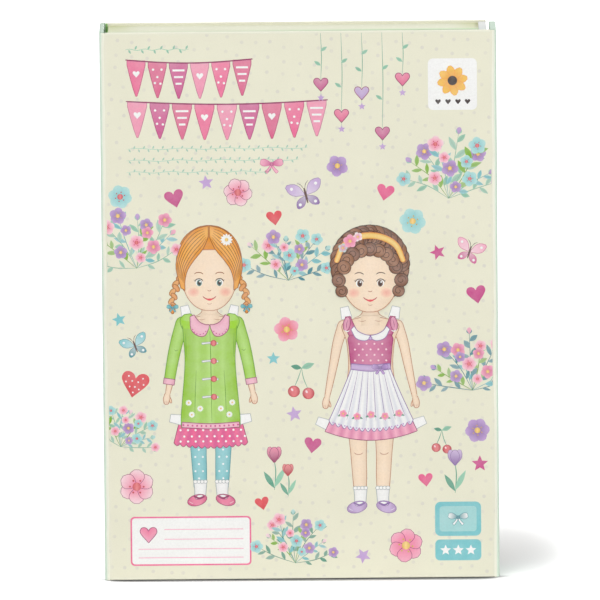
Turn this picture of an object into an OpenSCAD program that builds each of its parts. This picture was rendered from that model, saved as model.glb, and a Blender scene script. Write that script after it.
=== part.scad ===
// Boxed paper-doll set: a book-style case of wrapped greyboard that opens to the left and
// closes with a magnetic flap on the right. A tray is glued to its back cover.
// X runs from the spine to the flap, Y from the front cover to the back cover, Z up.
// The origin is in the middle of the closed case's footprint.

/* [Case] */
// Width of the closed case, spine to flap
case_w = 175; // [145:1:210]
// Height of the closed case
case_h = 245; // [200:1:300]
// Depth of the closed case, over both covers
case_d = 32; // [28:1:45]
// Thickness of the greyboard in the covers and the tray
board_t = 1.5; // [1.2:0.1:2]
// Thickness of the wrap and lining papers
paper_t = 0.25; // [0.15:0.05:0.35]
// Wrap left showing round each lining sheet
turn_in = 4; // [3:0.5:8]

/* [Hinges] */
// Depth of each hinge axis below the outer faces
axis_depth = 0.6; // [0.4:0.1:0.8]
// Distance from each hinge axis to the ends of the boards
axis_setback = 1.8; // [1.6:0.1:2.4]

/* [Flap] */
// How far the flap stops short of the back cover's face
flap_short = 5; // [3:0.5:8]
// Thickness of the flap's greyboard
flap_board_t = 2.5; // [2:0.1:3]
// Diameter of the magnets and of their keepers
magnet_dia = 10; // [8:1:14]
// Thickness of the magnets
magnet_t = 1.5; // [1:0.1:1.8]
// Thickness of the steel keepers
keeper_t = 1; // [0.5:0.1:1.1]
// Distance of the magnets from the ends of the flap
magnet_inset = 60; // [40:1:80]
// Distance of the magnets from the flap's free edge
magnet_edge = 11; // [9:0.5:12]
// Clearance round the magnets and keepers in their pockets
pocket_gap = 0.1; // [0.05:0.05:0.3]

/* [Tray] */
// Step from the ends of the covers down to the tray's walls
tray_recess = 1.2; // [0.9:0.1:3]
// Gap from the tray's rim to the front cover
rim_gap = 0.4; // [0.3:0.1:1]
// Gap from the spine to the tray
spine_gap = 1.5; // [1.2:0.1:2.5]
// Gap from the flap to the tray
flap_gap = 1.2; // [1:0.1:2.5]
// How far the flap-side wall stands past the other walls at each end
side_wall_rise = 0.6; // [0.2:0.1:0.8]

/* [Insert] */
// Thickness of the insert's folded card
insert_t = 0.6; // [0.4:0.1:0.9]
// Depth of the deck below the tray's rim
deck_depth = 11.6; // [10.5:0.1:13]
// Depth of the pencil channel below the rim
channel_depth = 14.6; // [13.5:0.1:18]
// Depth of the ridge between deck and channel below the rim
ridge_depth = 5.6; // [4:0.1:7]
// Width of the ridge
ridge_w = 6; // [4:0.5:8]
// Radius of the thumb scoop in the ridge
scoop_r = 12; // [8:1:16]
// Height of the scoop's lowest point above the deck
scoop_rise = 1; // [0.5:0.1:3]
// Clearance between the insert and the tray's walls
insert_gap = 0.3; // [0.2:0.1:0.6]

/* [Outfit sheets] */
// Thickness of a press-out sheet
sheet_t = 0.4; // [0.3:0.05:0.5]
// Bare margin of the deck round the sheets
sheet_margin = 1.5; // [1:0.5:4]
// Corner radius of the sheets
sheet_corner_r = 3; // [1:0.5:6]

/* [Dolls and outfits] */
// Free deck on each side of a dressed doll
doll_space = 2.3; // [1:0.1:6]
// Thickness of the dolls' card
doll_t = 1.5; // [1:0.1:2]
// Thickness of the paper outfits
outfit_t = 0.3; // [0.2:0.05:0.4]
// Clearance between a doll, its outfit and the sheets
paper_gap = 0.1; // [0.05:0.05:0.2]
// Width of an outfit's fold-over tab
tab_w = 5; // [4:0.5:6]
// Length of a tab behind the doll
tab_l = 10; // [6:1:14]
// Width of a doll's base
base_w = 34; // [28:1:40]
// Height of a doll's base
base_h = 9; // [8:0.5:11]
// Corner radius of the base
base_r = 3; // [2:0.5:4]
// Free channel on each side of the half-round feet
foot_side_space = 2.6; // [1:0.1:5]
// Clearance of the card in the slots of base and foot
slot_gap = 0.2; // [0.1:0.05:0.4]
// Free channel above and below each foot
foot_space = 4; // [2:0.5:8]

/* [Pencils] */
// Free channel at each end of the pencils
pencil_space = 9.5; // [2:0.5:15]
// Diameter of a pencil
pencil_dia = 7; // [6.5:0.1:7.2]
// Diameter of the lead
lead_dia = 2.4; // [2:0.1:3]
// Length of the sharpened end
cone_l = 20; // [15:1:25]
// Length of the bare lead
lead_tip_l = 6; // [4:0.5:8]
// Diameter of the lead's point
point_dia = 0.8; // [0.4:0.1:1.2]
// Clearance of the lead in its bore
lead_gap = 0.05; // [0.02:0.01:0.1]
// Space between neighbouring pencils
pencil_gap = 0.1; // [0.05:0.05:0.3]
// Width of the paper band round the pencils
band_w = 28; // [15:1:40]
// Thickness of the band
band_t = 0.3; // [0.2:0.05:0.4]
// Clearance between the band and the channel's sides
channel_gap = 0.5; // [0.3:0.1:1]

/* [Hidden] */

$fn = 96;
// Overrun of every cut past the face that it opens
cut_over = 1;
pencil_count = 5;
sheet_count = 4;
// Steps between two points of a smoothed outline
outline_steps = 4;

// Thickness of a cover and of the flap
cover_t = board_t + 2 * paper_t;
flap_t = flap_board_t + 2 * paper_t;
// Radius of the folded hinge papers
fold_r = axis_depth + axis_setback;

// Outer faces of the case
left_x = -case_w / 2;
right_x = case_w / 2;
front_y = -case_d / 2;
back_y = case_d / 2;

// Outer faces of the tray, and the inner face of its flap-side wall
tray_left_x = left_x + cover_t + spine_gap;
tray_right_x = right_x - flap_t - flap_gap;
side_wall_t = 2 * board_t + 2 * paper_t;
side_wall_x = tray_right_x - side_wall_t;
rim_y = front_y + cover_t + rim_gap;
tray_back_y = back_y - cover_t;
tray_bottom_z = tray_recess;
tray_top_z = case_h - tray_recess;
tray_depth = tray_back_y - rim_y;
wall_t = board_t + 2 * paper_t;

// The bare tray boards: outer faces, length of the end walls, and the floor between the walls
wall_left_x = tray_left_x + paper_t;
wall_bottom_z = tray_bottom_z + paper_t;
wall_top_z = tray_top_z - paper_t;
end_wall_w = side_wall_x - wall_left_x;
floor_w = end_wall_w - board_t;
floor_h = wall_top_z - wall_bottom_z - 2 * board_t;
side_wall_bottom_z = tray_bottom_z - side_wall_rise;
side_wall_h = tray_top_z - tray_bottom_z + 2 * side_wall_rise;

// Room inside the tray
room_left_x = tray_left_x + wall_t;
room_bottom_z = tray_bottom_z + wall_t;
room_top_z = tray_top_z - wall_t;
room_h = room_top_z - room_bottom_z;
floor_y = tray_back_y - board_t - paper_t;

// The covers' ends
lid_left_x = left_x + fold_r;
lid_w = case_w - 2 * fold_r;
back_w = tray_right_x - lid_left_x;
spine_w = case_d - 2 * fold_r;
flap_end_y = back_y - flap_short;
flap_start_y = front_y + fold_r;
flap_w = flap_end_y - flap_start_y;
magnet_y = flap_end_y - magnet_edge;
magnet_zs = [magnet_inset, case_h - magnet_inset];
pocket_dia = magnet_dia + 2 * pocket_gap;
magnet_x = right_x - flap_t + paper_t;
keeper_x = tray_right_x - paper_t - keeper_t;

// Levels and places of the insert
deck_y = rim_y + deck_depth;
channel_y = rim_y + channel_depth;
ridge_y = rim_y + ridge_depth;
insert_left_x = room_left_x + insert_gap;
insert_right_x = side_wall_x - insert_gap;
insert_bottom_z = room_bottom_z + insert_gap;
insert_h = room_h - 2 * insert_gap;
pencil_pitch = pencil_dia + pencil_gap;
bundle_w = pencil_count * pencil_pitch - pencil_gap + 2 * paper_gap + 2 * band_t;
channel_w = bundle_w + 2 * channel_gap;
channel_right_x = insert_right_x - insert_t;
channel_left_x = channel_right_x - channel_w;
ridge_left_x = channel_left_x - ridge_w;
deck_w = ridge_left_x - insert_left_x;
scoop_depth = deck_y - ridge_y - scoop_rise;

// Levels of what lies on the deck, from the sheets forward
stack_y = deck_y - sheet_count * sheet_t;
tab_y = stack_y - paper_gap - outfit_t;
doll_back_y = tab_y - paper_gap;
doll_front_y = doll_back_y - doll_t;
panel_y = doll_front_y - paper_gap - outfit_t;
doll_xs = [insert_left_x + deck_w / 4, insert_left_x + 3 * deck_w / 4];
// A dressed doll's width as a share of its height
dressed_w_share = 0.328;
doll_h = (deck_w / 2 - 2 * doll_space) / dressed_w_share;
doll_z = (case_h - doll_h) / 2;
slot_w = doll_t + slot_gap;

// Levels and places in the channel
pencil_r = pencil_dia / 2;
lead_r = lead_dia / 2;
pencil_y = channel_y - band_t - 2 * paper_gap - pencil_r;
pencil_1_x = channel_left_x + channel_gap + band_t + paper_gap + pencil_r;
foot_r = channel_w / 2 - foot_side_space;
foot_x = channel_left_x + channel_w / 2;
feet_top_z = insert_bottom_z + foot_space + 2 * (foot_r + foot_space);
pencil_z = feet_top_z + pencil_space;
pencil_l = insert_bottom_z + insert_h - pencil_space - pencil_z;
band_z = pencil_z + (pencil_l - cone_l - band_w) / 2;

cream = [0.93, 0.92, 0.83];
mint = [0.72, 0.89, 0.80];
white = [0.97, 0.97, 0.96];
greyboard = [0.66, 0.62, 0.56];
kraft = [0.80, 0.70, 0.56];
steel = [0.62, 0.63, 0.65];
skin = [0.96, 0.80, 0.68];
rose = [0.86, 0.42, 0.56];
lilac = [0.72, 0.64, 0.84];
lead_grey = [0.35, 0.33, 0.36];
pencil_colours = [
    [0.90, 0.36, 0.52], [0.95, 0.66, 0.25], [0.55, 0.78, 0.35], [0.35, 0.70, 0.74], [0.62, 0.50, 0.78]
];

// Half outlines of the dolls and outfits, right side, from the bottom up,
// as shares of the doll's height
trunk_shares = [
    [0.000, 0.030], [0.060, 0.030], [0.094, 0.034], [0.104, 0.050], [0.094, 0.074], [0.072, 0.096],
    [0.080, 0.200], [0.082, 0.270], [0.096, 0.360], [0.100, 0.420], [0.088, 0.480], [0.085, 0.550],
    [0.098, 0.546], [0.112, 0.480], [0.116, 0.420], [0.128, 0.386], [0.148, 0.378], [0.161, 0.400],
    [0.158, 0.440], [0.148, 0.510], [0.132, 0.590], [0.112, 0.660], [0.090, 0.684], [0.054, 0.692],
    [0.042, 0.712], [0.042, 0.750], [0.000, 0.760],
];
curly_head_shares = [
    [0.000, 0.698], [0.036, 0.706], [0.064, 0.730], [0.098, 0.742], [0.128, 0.768], [0.144, 0.812],
    [0.146, 0.862], [0.134, 0.914], [0.106, 0.958], [0.066, 0.988], [0.030, 1.000], [0.000, 1.000],
];
smooth_head_shares = [
    [0.000, 0.698], [0.036, 0.706], [0.070, 0.730], [0.096, 0.762], [0.114, 0.810], [0.120, 0.862],
    [0.110, 0.916], [0.086, 0.958], [0.050, 0.986], [0.000, 0.994],
];
plait_shares = [
    [0.000, 0.780], [0.050, 0.784], [0.084, 0.772], [0.098, 0.740], [0.100, 0.712], [0.108, 0.688],
    [0.124, 0.677], [0.142, 0.690], [0.149, 0.722], [0.144, 0.764], [0.130, 0.812], [0.100, 0.842],
    [0.050, 0.856], [0.000, 0.860],
];
dress_shares = [
    [0.000, 0.272], [0.060, 0.266], [0.120, 0.280], [0.158, 0.302], [0.162, 0.318], [0.136, 0.370],
    [0.104, 0.430], [0.078, 0.490], [0.070, 0.520], [0.078, 0.560], [0.080, 0.600], [0.088, 0.650],
    [0.096, 0.690], [0.062, 0.698], [0.050, 0.660], [0.026, 0.640], [0.000, 0.634],
];
coat_shares = [
    [0.000, 0.300], [0.060, 0.296], [0.104, 0.300], [0.108, 0.330], [0.098, 0.420], [0.090, 0.500],
    [0.090, 0.548], [0.100, 0.540], [0.114, 0.476], [0.120, 0.440], [0.150, 0.444], [0.162, 0.456],
    [0.152, 0.520], [0.136, 0.600], [0.116, 0.666], [0.096, 0.692], [0.062, 0.698], [0.044, 0.676],
    [0.020, 0.662], [0.000, 0.660],
];
// Places of the tabs: middle of the tab, its root on the front, and the fold over the shoulder
tab_x_share = 0.078;
tab_root_share = 0.660;
tab_fold_share = 0.704;

// Closed curve through points, and a right half outline made whole
function curve_point(a, b, c, d, t) = b + (c - a) * t / 2 + (2 * a - 5 * b + 4 * c - d) * t * t / 2
    + (3 * b - a - 3 * c + d) * t * t * t / 2;
function smoothed(p) = let (n = len(p)) [
    for (i = [0 : n - 1], k = [0 : outline_steps - 1])
        curve_point(p[(i + n - 1) % n], p[i], p[(i + 1) % n], p[(i + 2) % n], k / outline_steps)
];
function both_halves(p) = concat(p, [for (i = [len(p) - 1 : -1 : 0]) if (p[i].x > 0) [-p[i].x, p[i].y]]);

module outline(half_shares) {
    polygon(smoothed(both_halves(half_shares) * doll_h));
}

// A drawing in X and Z, thickened towards the back from the level y
module sheet_at(x, y, z, t) {
    translate([x, y + t, z])
        rotate([90, 0, 0])
            linear_extrude(t)
                children();
}

module rounded_rectangle(w, h, r) {
    translate([r, 0])
        square([w - 2 * r, h]);
    translate([0, r])
        square([w, h - 2 * r]);
    for (x = [r, w - r], y = [r, h - r])
        translate([x, y])
            circle(r);
}

// Frames of the four covers: length along X, depth inwards along Y, height along Z
module on_front() {
    translate([lid_left_x, front_y, 0])
        children();
}

module on_back() {
    translate([lid_left_x, back_y, 0])
        mirror([0, 1, 0])
            children();
}

module on_spine() {
    translate([left_x, front_y + fold_r, 0])
        mirror([1, -1, 0])
            children();
}

module on_flap() {
    translate([right_x, flap_start_y, 0])
        rotate([0, 0, 90])
            children();
}

module board(w, t) {
    color(greyboard)
        translate([paper_t, paper_t, paper_t])
            cube([w - 2 * paper_t, t, case_h - 2 * paper_t]);
}

module wrap(w, t) {
    color(cream)
        difference() {
            cube([w, t + 2 * paper_t, case_h]);
            translate([paper_t, paper_t, paper_t])
                cube([w - 2 * paper_t, t, case_h - 2 * paper_t]);
            translate([turn_in, paper_t + t, turn_in])
                cube([w - 2 * turn_in, paper_t + cut_over, case_h - 2 * turn_in]);
        }
}

module lining(w, t) {
    color(white)
        translate([turn_in, paper_t + t, turn_in])
            cube([w - 2 * turn_in, paper_t, case_h - 2 * turn_in]);
}

module front_board() {
    on_front()
        board(lid_w, board_t);
}

module front_wrap() {
    on_front()
        wrap(lid_w, board_t);
}

module front_lining() {
    on_front()
        lining(lid_w, board_t);
}

module spine_board() {
    on_spine()
        board(spine_w, board_t);
}

module spine_wrap() {
    on_spine()
        wrap(spine_w, board_t);
}

module spine_lining() {
    on_spine()
        lining(spine_w, board_t);
}

module back_board() {
    on_back()
        board(back_w, board_t);
}

module back_wrap() {
    on_back()
        wrap(back_w, board_t);
}

module back_lining() {
    on_back()
        lining(back_w, board_t);
}

// A disc with its axis along X and its left face at x
module side_disc(x, z, dia, t) {
    translate([x, magnet_y, z])
        rotate([0, 90, 0])
            cylinder(d = dia, h = t);
}

module flap_board() {
    difference() {
        on_flap()
            board(flap_w, flap_board_t);
        for (z = magnet_zs)
            color(greyboard)
                side_disc(magnet_x - cut_over, z, pocket_dia, magnet_t + cut_over);
    }
}

module flap_wrap() {
    on_flap()
        wrap(flap_w, flap_board_t);
}

module flap_lining() {
    on_flap()
        lining(flap_w, flap_board_t);
}

module flap_magnet_lower() {
    color(steel)
        side_disc(magnet_x, magnet_zs[0], magnet_dia, magnet_t);
}

module flap_magnet_upper() {
    color(steel)
        side_disc(magnet_x, magnet_zs[1], magnet_dia, magnet_t);
}

// The wrap's fold round an upright edge: a quarter of a thin tube towards the corner
module hinge_paper(corner_x, corner_y, side_x, side_y) {
    color(mint)
        translate([corner_x - side_x * fold_r, corner_y - side_y * fold_r, 0])
            intersection() {
                difference() {
                    cylinder(r = fold_r, h = case_h);
                    translate([0, 0, -cut_over])
                        cylinder(r = fold_r - paper_t, h = case_h + 2 * cut_over);
                }
                translate([min(0, side_x * fold_r), min(0, side_y * fold_r), 0])
                    cube([fold_r, fold_r, case_h]);
            }
}

module hinge_paper_back() {
    hinge_paper(left_x, back_y, -1, 1);
}

module hinge_paper_front() {
    hinge_paper(left_x, front_y, -1, -1);
}

module hinge_paper_flap() {
    hinge_paper(right_x, front_y, 1, -1);
}

// The tray's floor lies between its walls
module floor_sheet(y, t) {
    translate([wall_left_x + board_t, y, wall_bottom_z + board_t])
        cube([floor_w, t, floor_h]);
}

module tray_floor() {
    color(greyboard)
        floor_sheet(tray_back_y - board_t, board_t);
}

module tray_floor_lining() {
    color(white)
        floor_sheet(floor_y, paper_t);
}

module end_wall(z) {
    color(greyboard)
        translate([wall_left_x, rim_y + paper_t, z])
            cube([end_wall_w, tray_depth - paper_t, board_t]);
}

module tray_top_wall() {
    end_wall(wall_top_z - board_t);
}

module tray_bottom_wall() {
    end_wall(wall_bottom_z);
}

module tray_spine_wall() {
    color(greyboard)
        translate([wall_left_x, rim_y + paper_t, wall_bottom_z + board_t])
            cube([board_t, tray_depth - paper_t, floor_h]);
}

module side_wall_ply(x) {
    color(greyboard)
        translate([x, rim_y + paper_t, side_wall_bottom_z + paper_t])
            cube([board_t, tray_depth - paper_t, side_wall_h - 2 * paper_t]);
}

module tray_flap_wall_inner() {
    side_wall_ply(side_wall_x + paper_t);
}

module tray_flap_wall_outer() {
    difference() {
        side_wall_ply(side_wall_x + paper_t + board_t);
        for (z = magnet_zs)
            color(greyboard)
                side_disc(keeper_x, z, pocket_dia, keeper_t + cut_over);
    }
}

module keeper_lower() {
    color(steel)
        side_disc(keeper_x, magnet_zs[0], magnet_dia, keeper_t);
}

module keeper_upper() {
    color(steel)
        side_disc(keeper_x, magnet_zs[1], magnet_dia, keeper_t);
}

// Printed paper over three walls: outside, over the rim and down the inside
module tray_wrap() {
    color(cream)
        difference() {
            translate([tray_left_x, rim_y, tray_bottom_z])
                cube([side_wall_x - tray_left_x, tray_depth, tray_top_z - tray_bottom_z]);
            translate([room_left_x, rim_y - cut_over, room_bottom_z])
                cube([side_wall_x - room_left_x + cut_over, tray_depth, room_h]);
            translate([wall_left_x + board_t, floor_y, wall_bottom_z + board_t])
                cube([floor_w + cut_over, tray_depth, floor_h]);
            tray_board_space(wall_left_x, wall_bottom_z, end_wall_w + cut_over, board_t);
            tray_board_space(wall_left_x, wall_top_z - board_t, end_wall_w + cut_over, board_t);
            tray_board_space(wall_left_x, wall_bottom_z, board_t, wall_top_z - wall_bottom_z);
        }
}

module tray_board_space(x, z, w, h) {
    translate([x, rim_y + paper_t, z])
        cube([w, tray_depth, h]);
}

// White paper over the double wall
module tray_flap_wrap() {
    color(white)
        difference() {
            translate([side_wall_x, rim_y, side_wall_bottom_z])
                cube([side_wall_t, tray_depth, side_wall_h]);
            tray_board_space(side_wall_x + paper_t, side_wall_bottom_z + paper_t, 2 * board_t,
                side_wall_h - 2 * paper_t);
        }
}

// One card folded into a deck, a ridge and a channel
module insert() {
    color(kraft)
        difference() {
            translate([0, 0, insert_bottom_z])
                linear_extrude(insert_h) {
                    fold(insert_left_x, deck_y, insert_t, floor_y - deck_y);
                    fold(insert_left_x, deck_y, deck_w + insert_t, insert_t);
                    fold(ridge_left_x, ridge_y, insert_t, deck_y - ridge_y + insert_t);
                    fold(ridge_left_x, ridge_y, ridge_w, insert_t);
                    fold(channel_left_x - insert_t, ridge_y, insert_t, channel_y - ridge_y + insert_t);
                    fold(channel_left_x - insert_t, channel_y, channel_w + 2 * insert_t, insert_t);
                    fold(channel_right_x, channel_y, insert_t, floor_y - channel_y);
                }
            translate([ridge_left_x - cut_over, ridge_y + scoop_depth - scoop_r, case_h / 2])
                rotate([0, 90, 0])
                    cylinder(r = scoop_r, h = ridge_w + 2 * cut_over);
        }
}

module fold(x, y, w, d) {
    translate([x, y])
        square([w, d]);
}

module outfit_sheet(i) {
    color(white)
        sheet_at(insert_left_x + sheet_margin, deck_y - i * sheet_t, insert_bottom_z + sheet_margin,
            sheet_t)
            rounded_rectangle(deck_w - 2 * sheet_margin, insert_h - 2 * sheet_margin, sheet_corner_r);
}

module outfit_sheet_1() {
    outfit_sheet(1);
}

module outfit_sheet_2() {
    outfit_sheet(2);
}

module outfit_sheet_3() {
    outfit_sheet(3);
}

module outfit_sheet_4() {
    outfit_sheet(4);
}

// A doll's trunk on its base, with the head drawn by the child;
// the slot in the base takes the half-round foot
module doll(i) {
    color(skin)
        sheet_at(doll_xs[i], doll_front_y, doll_z, doll_t)
            difference() {
                union() {
                    outline(trunk_shares);
                    translate([-base_w / 2, 0])
                        rounded_rectangle(base_w, base_h, base_r);
                    children();
                }
                translate([-slot_w / 2, -cut_over])
                    square([slot_w, base_h / 2 + cut_over]);
            }
}

// A paper outfit: its front, and two tabs folded over the shoulders and down the doll's back
module outfit(i, half_shares) {
    sheet_at(doll_xs[i], panel_y, doll_z, outfit_t)
        outline(half_shares);
    fold_z = doll_z + tab_fold_share * doll_h;
    root_z = doll_z + tab_root_share * doll_h;
    for (side = [-1, 1])
        translate([doll_xs[i] + side * tab_x_share * doll_h - tab_w / 2, 0, 0]) {
            translate([0, panel_y, root_z])
                cube([tab_w, outfit_t, fold_z - root_z + outfit_t]);
            translate([0, panel_y, fold_z])
                cube([tab_w, tab_y + outfit_t - panel_y, outfit_t]);
            translate([0, tab_y, fold_z + outfit_t - tab_l])
                cube([tab_w, outfit_t, tab_l]);
        }
}

module doll_1() {
    doll(0)
        outline(curly_head_shares);
}

module dress_1() {
    color(rose)
        outfit(0, dress_shares);
}

module doll_2() {
    doll(1) {
        outline(smooth_head_shares);
        outline(plait_shares);
    }
}

module coat_2() {
    color(lilac)
        outfit(1, coat_shares);
}

// A half-round foot; its slot goes over the slot in a doll's base
module doll_foot(i) {
    foot_z = insert_bottom_z + foot_space + i * (foot_r + foot_space);
    color(mint)
        sheet_at(foot_x, channel_y - doll_t, foot_z, doll_t)
            difference() {
                intersection() {
                    circle(foot_r);
                    translate([-foot_r, 0])
                        square([2 * foot_r, foot_r]);
                }
                translate([-slot_w / 2, foot_r - base_h])
                    square([slot_w, base_h + cut_over]);
            }
}

module doll_foot_1() {
    doll_foot(0);
}

module doll_foot_2() {
    doll_foot(1);
}

module at_pencil(i) {
    translate([pencil_1_x + i * pencil_pitch, pencil_y, pencil_z])
        children();
}

module pencil(i) {
    color(pencil_colours[i])
        at_pencil(i)
            difference() {
                union() {
                    cylinder(r = pencil_r, h = pencil_l - cone_l);
                    translate([0, 0, pencil_l - cone_l])
                        cylinder(r1 = pencil_r, r2 = lead_r + 2 * lead_gap, h = cone_l - lead_tip_l);
                }
                translate([0, 0, -cut_over])
                    cylinder(r = lead_r + lead_gap, h = pencil_l + cut_over);
            }
}

module pencil_1() {
    pencil(0);
}

module pencil_2() {
    pencil(1);
}

module pencil_3() {
    pencil(2);
}

module pencil_4() {
    pencil(3);
}

module pencil_5() {
    pencil(4);
}

module pencil_leads() {
    color(lead_grey)
        for (i = [0 : pencil_count - 1])
            at_pencil(i) {
                cylinder(r = lead_r, h = pencil_l - lead_tip_l);
                translate([0, 0, pencil_l - lead_tip_l])
                    cylinder(r1 = lead_r, r2 = point_dia / 2, h = lead_tip_l);
            }
}

// The band's section: a flat loop with round ends
module band_section(r) {
    first_x = pencil_1_x;
    last_x = pencil_1_x + (pencil_count - 1) * pencil_pitch;
    translate([first_x, -r])
        square([last_x - first_x, 2 * r]);
    for (x = [first_x, last_x])
        translate([x, 0])
            circle(r);
}

module pencil_band() {
    color(white)
        translate([0, pencil_y, band_z])
            linear_extrude(band_w)
                difference() {
                    band_section(pencil_r + paper_gap + band_t);
                    band_section(pencil_r + paper_gap);
                }
}

front_board();
front_wrap();
front_lining();
spine_board();
spine_wrap();
spine_lining();
back_board();
back_wrap();
back_lining();
flap_board();
flap_wrap();
flap_lining();
flap_magnet_lower();
flap_magnet_upper();
hinge_paper_back();
hinge_paper_front();
hinge_paper_flap();
tray_floor();
tray_floor_lining();
tray_top_wall();
tray_bottom_wall();
tray_spine_wall();
tray_flap_wall_inner();
tray_flap_wall_outer();
keeper_lower();
keeper_upper();
tray_wrap();
tray_flap_wrap();
insert();
outfit_sheet_1();
outfit_sheet_2();
outfit_sheet_3();
outfit_sheet_4();
doll_1();
dress_1();
doll_2();
coat_2();
doll_foot_1();
doll_foot_2();
pencil_1();
pencil_2();
pencil_3();
pencil_4();
pencil_5();
pencil_leads();
pencil_band();
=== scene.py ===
# A boxed paper-doll set: the shut book-style case, and the dolls, outfits, sheets and pencils in it
import math
import random

import bmesh
import bpy
from mathutils import Matrix, Vector


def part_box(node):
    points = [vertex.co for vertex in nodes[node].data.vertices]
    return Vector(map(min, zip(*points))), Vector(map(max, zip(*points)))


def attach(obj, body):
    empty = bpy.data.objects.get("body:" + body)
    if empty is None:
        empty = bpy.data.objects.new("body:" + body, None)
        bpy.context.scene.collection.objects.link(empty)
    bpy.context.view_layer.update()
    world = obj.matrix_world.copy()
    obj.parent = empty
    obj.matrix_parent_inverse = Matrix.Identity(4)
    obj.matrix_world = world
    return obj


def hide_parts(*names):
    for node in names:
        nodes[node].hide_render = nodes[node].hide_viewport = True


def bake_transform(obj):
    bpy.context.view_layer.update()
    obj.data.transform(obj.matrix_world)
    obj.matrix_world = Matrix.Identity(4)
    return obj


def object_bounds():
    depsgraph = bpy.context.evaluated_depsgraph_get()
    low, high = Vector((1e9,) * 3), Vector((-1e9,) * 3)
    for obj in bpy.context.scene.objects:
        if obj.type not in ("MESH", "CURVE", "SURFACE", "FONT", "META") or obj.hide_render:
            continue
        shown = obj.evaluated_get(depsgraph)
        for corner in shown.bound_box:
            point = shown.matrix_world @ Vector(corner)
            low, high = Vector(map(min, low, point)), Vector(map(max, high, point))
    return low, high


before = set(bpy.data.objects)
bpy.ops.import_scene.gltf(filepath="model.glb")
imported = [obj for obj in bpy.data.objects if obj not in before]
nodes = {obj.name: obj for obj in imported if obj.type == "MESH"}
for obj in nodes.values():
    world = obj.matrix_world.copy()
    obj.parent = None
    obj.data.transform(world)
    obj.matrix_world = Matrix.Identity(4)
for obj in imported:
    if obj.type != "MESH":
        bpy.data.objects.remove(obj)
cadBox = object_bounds()
scene = bpy.context.scene
mm = 0.001
print("frame loaded:", len(nodes), "nodes")


# Colours and finishes

def shade(red, green, blue):  # from 0-255 values to the linear colour that nodes and attributes take
    steps = [c / 255 for c in (red, green, blue)]
    return tuple(c / 12.92 if c <= 0.04045 else ((c + 0.055) / 1.055) ** 2.4 for c in steps) + (1.0,)


levels = {  # 0-255
    "cream": (232, 230, 208), "rim": (231, 230, 211), "dot": (220, 217, 203),
    # the darker top-edge mint is painted shade, and the fold cream, pale and mint a painted highlight
    # along the bends
    "mint": (196, 221, 200), "mintRim": (202, 222, 205), "mintTop": (174, 198, 178),
    "foldInside": (214, 240, 216), "foldCream": (242, 242, 225), "foldPale": (239, 247, 229),
    # the olive, tray corner, tray front and seam colours are painted shade on the tray's top, and the
    # lining green is painted there as bounce light
    "foldMint": (224, 242, 224), "gapGreen": (158, 212, 124), "olive": (203, 208, 158),
    "trayCorner": (150, 150, 100), "trayFront": (212, 214, 184), "traySeam": (108, 140, 84),
    "lining": (176, 222, 158), "liningDot": (216, 240, 200), "card": (243, 241, 234),
    "grey": (160, 152, 140), "skin": (248, 222, 192),
    "skinLine": (188, 128, 96), "cheek": (240, 158, 144), "darkDeep": (52, 36, 34),
    "lime": (160, 214, 48), "limeDark": (100, 158, 34), "rose": (206, 84, 144),
    "roseDark": (146, 46, 96), "pink": (236, 104, 150), "pinkSoft": (243, 176, 198),
    "wood": (226, 184, 136), "woodDark": (190, 142, 96), "pinkPale": (248, 218, 224),
    "coral": (228, 84, 92), "coralDark": (180, 54, 66), "teal": (122, 198, 204),
    "tealDark": (66, 144, 156), "tealPale": (184, 224, 220), "lilac": (196, 164, 214),
    "lilacDark": (138, 104, 166), "leaf": (150, 204, 176), "leafDark": (96, 162, 136),
    "mintLine": (176, 214, 192), "yellow": (246, 202, 92), "orange": (240, 158, 72),
    "ink": (104, 78, 74), "paperLine": (168, 172, 176), "snow": (246, 246, 244),
    "snowShade": (206, 208, 222),
}
paint = {name: shade(*level) for name, level in levels.items()}
paint["clear"] = (1.0, 1.0, 1.0, 1.0)


def tint(colour):  # a colour by its name, or as it is
    return paint[colour] if isinstance(colour, str) else colour


def mixed(first, second, share):
    return tuple(a + (b - a) * share for a, b in zip(tint(first), tint(second)))


def scaled(colour, factor):
    return tuple(min(1.0, c * factor) for c in tint(colour)[:3]) + (1.0,)


class Nodes:  # small helpers to build a node tree
    def __init__(self, tree):
        self.tree = tree

    def add(self, kind, inputs=None, **settings):  # inputs by name or number
        node = self.tree.nodes.new("ShaderNode" + kind)
        for key, value in settings.items():
            setattr(node, key, value)
        for key, value in (inputs or {}).items():
            self.feed(node.inputs[key], value)
        return node

    def feed(self, socket, value):
        if isinstance(value, bpy.types.NodeSocket):
            self.tree.links.new(value, socket)
        else:
            socket.default_value = tint(value)

    def math(self, operation, first, second=0.0):
        return self.add("Math", {0: first, 1: second}, operation=operation).outputs[0]

    def times(self, first, second):
        return self.math("MULTIPLY", first, second)

    def plus(self, first, second):
        return self.math("ADD", first, second)

    def larger(self, first, second):
        return self.math("MAXIMUM", first, second)

    def mix(self, factor, first, second, blend="MIX"):
        inputs = {0: factor, 6: first, 7: second}
        return self.add("Mix", inputs, data_type="RGBA", blend_type=blend).outputs[2]

    def span(self, value, start, end, low=0.0, high=1.0):  # a soft step from low to high
        inputs = dict(enumerate((value, start, end, low, high)))
        return self.add("MapRange", inputs, interpolation_type="SMOOTHSTEP").outputs[0]

    def within(self, value, middle, half, soft):  # 1 near the middle, lengths in millimetres
        off = self.math("ABSOLUTE", self.math("SUBTRACT", value, middle * mm))
        return self.span(off, (half + soft) * mm, (half - soft) * mm)


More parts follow.
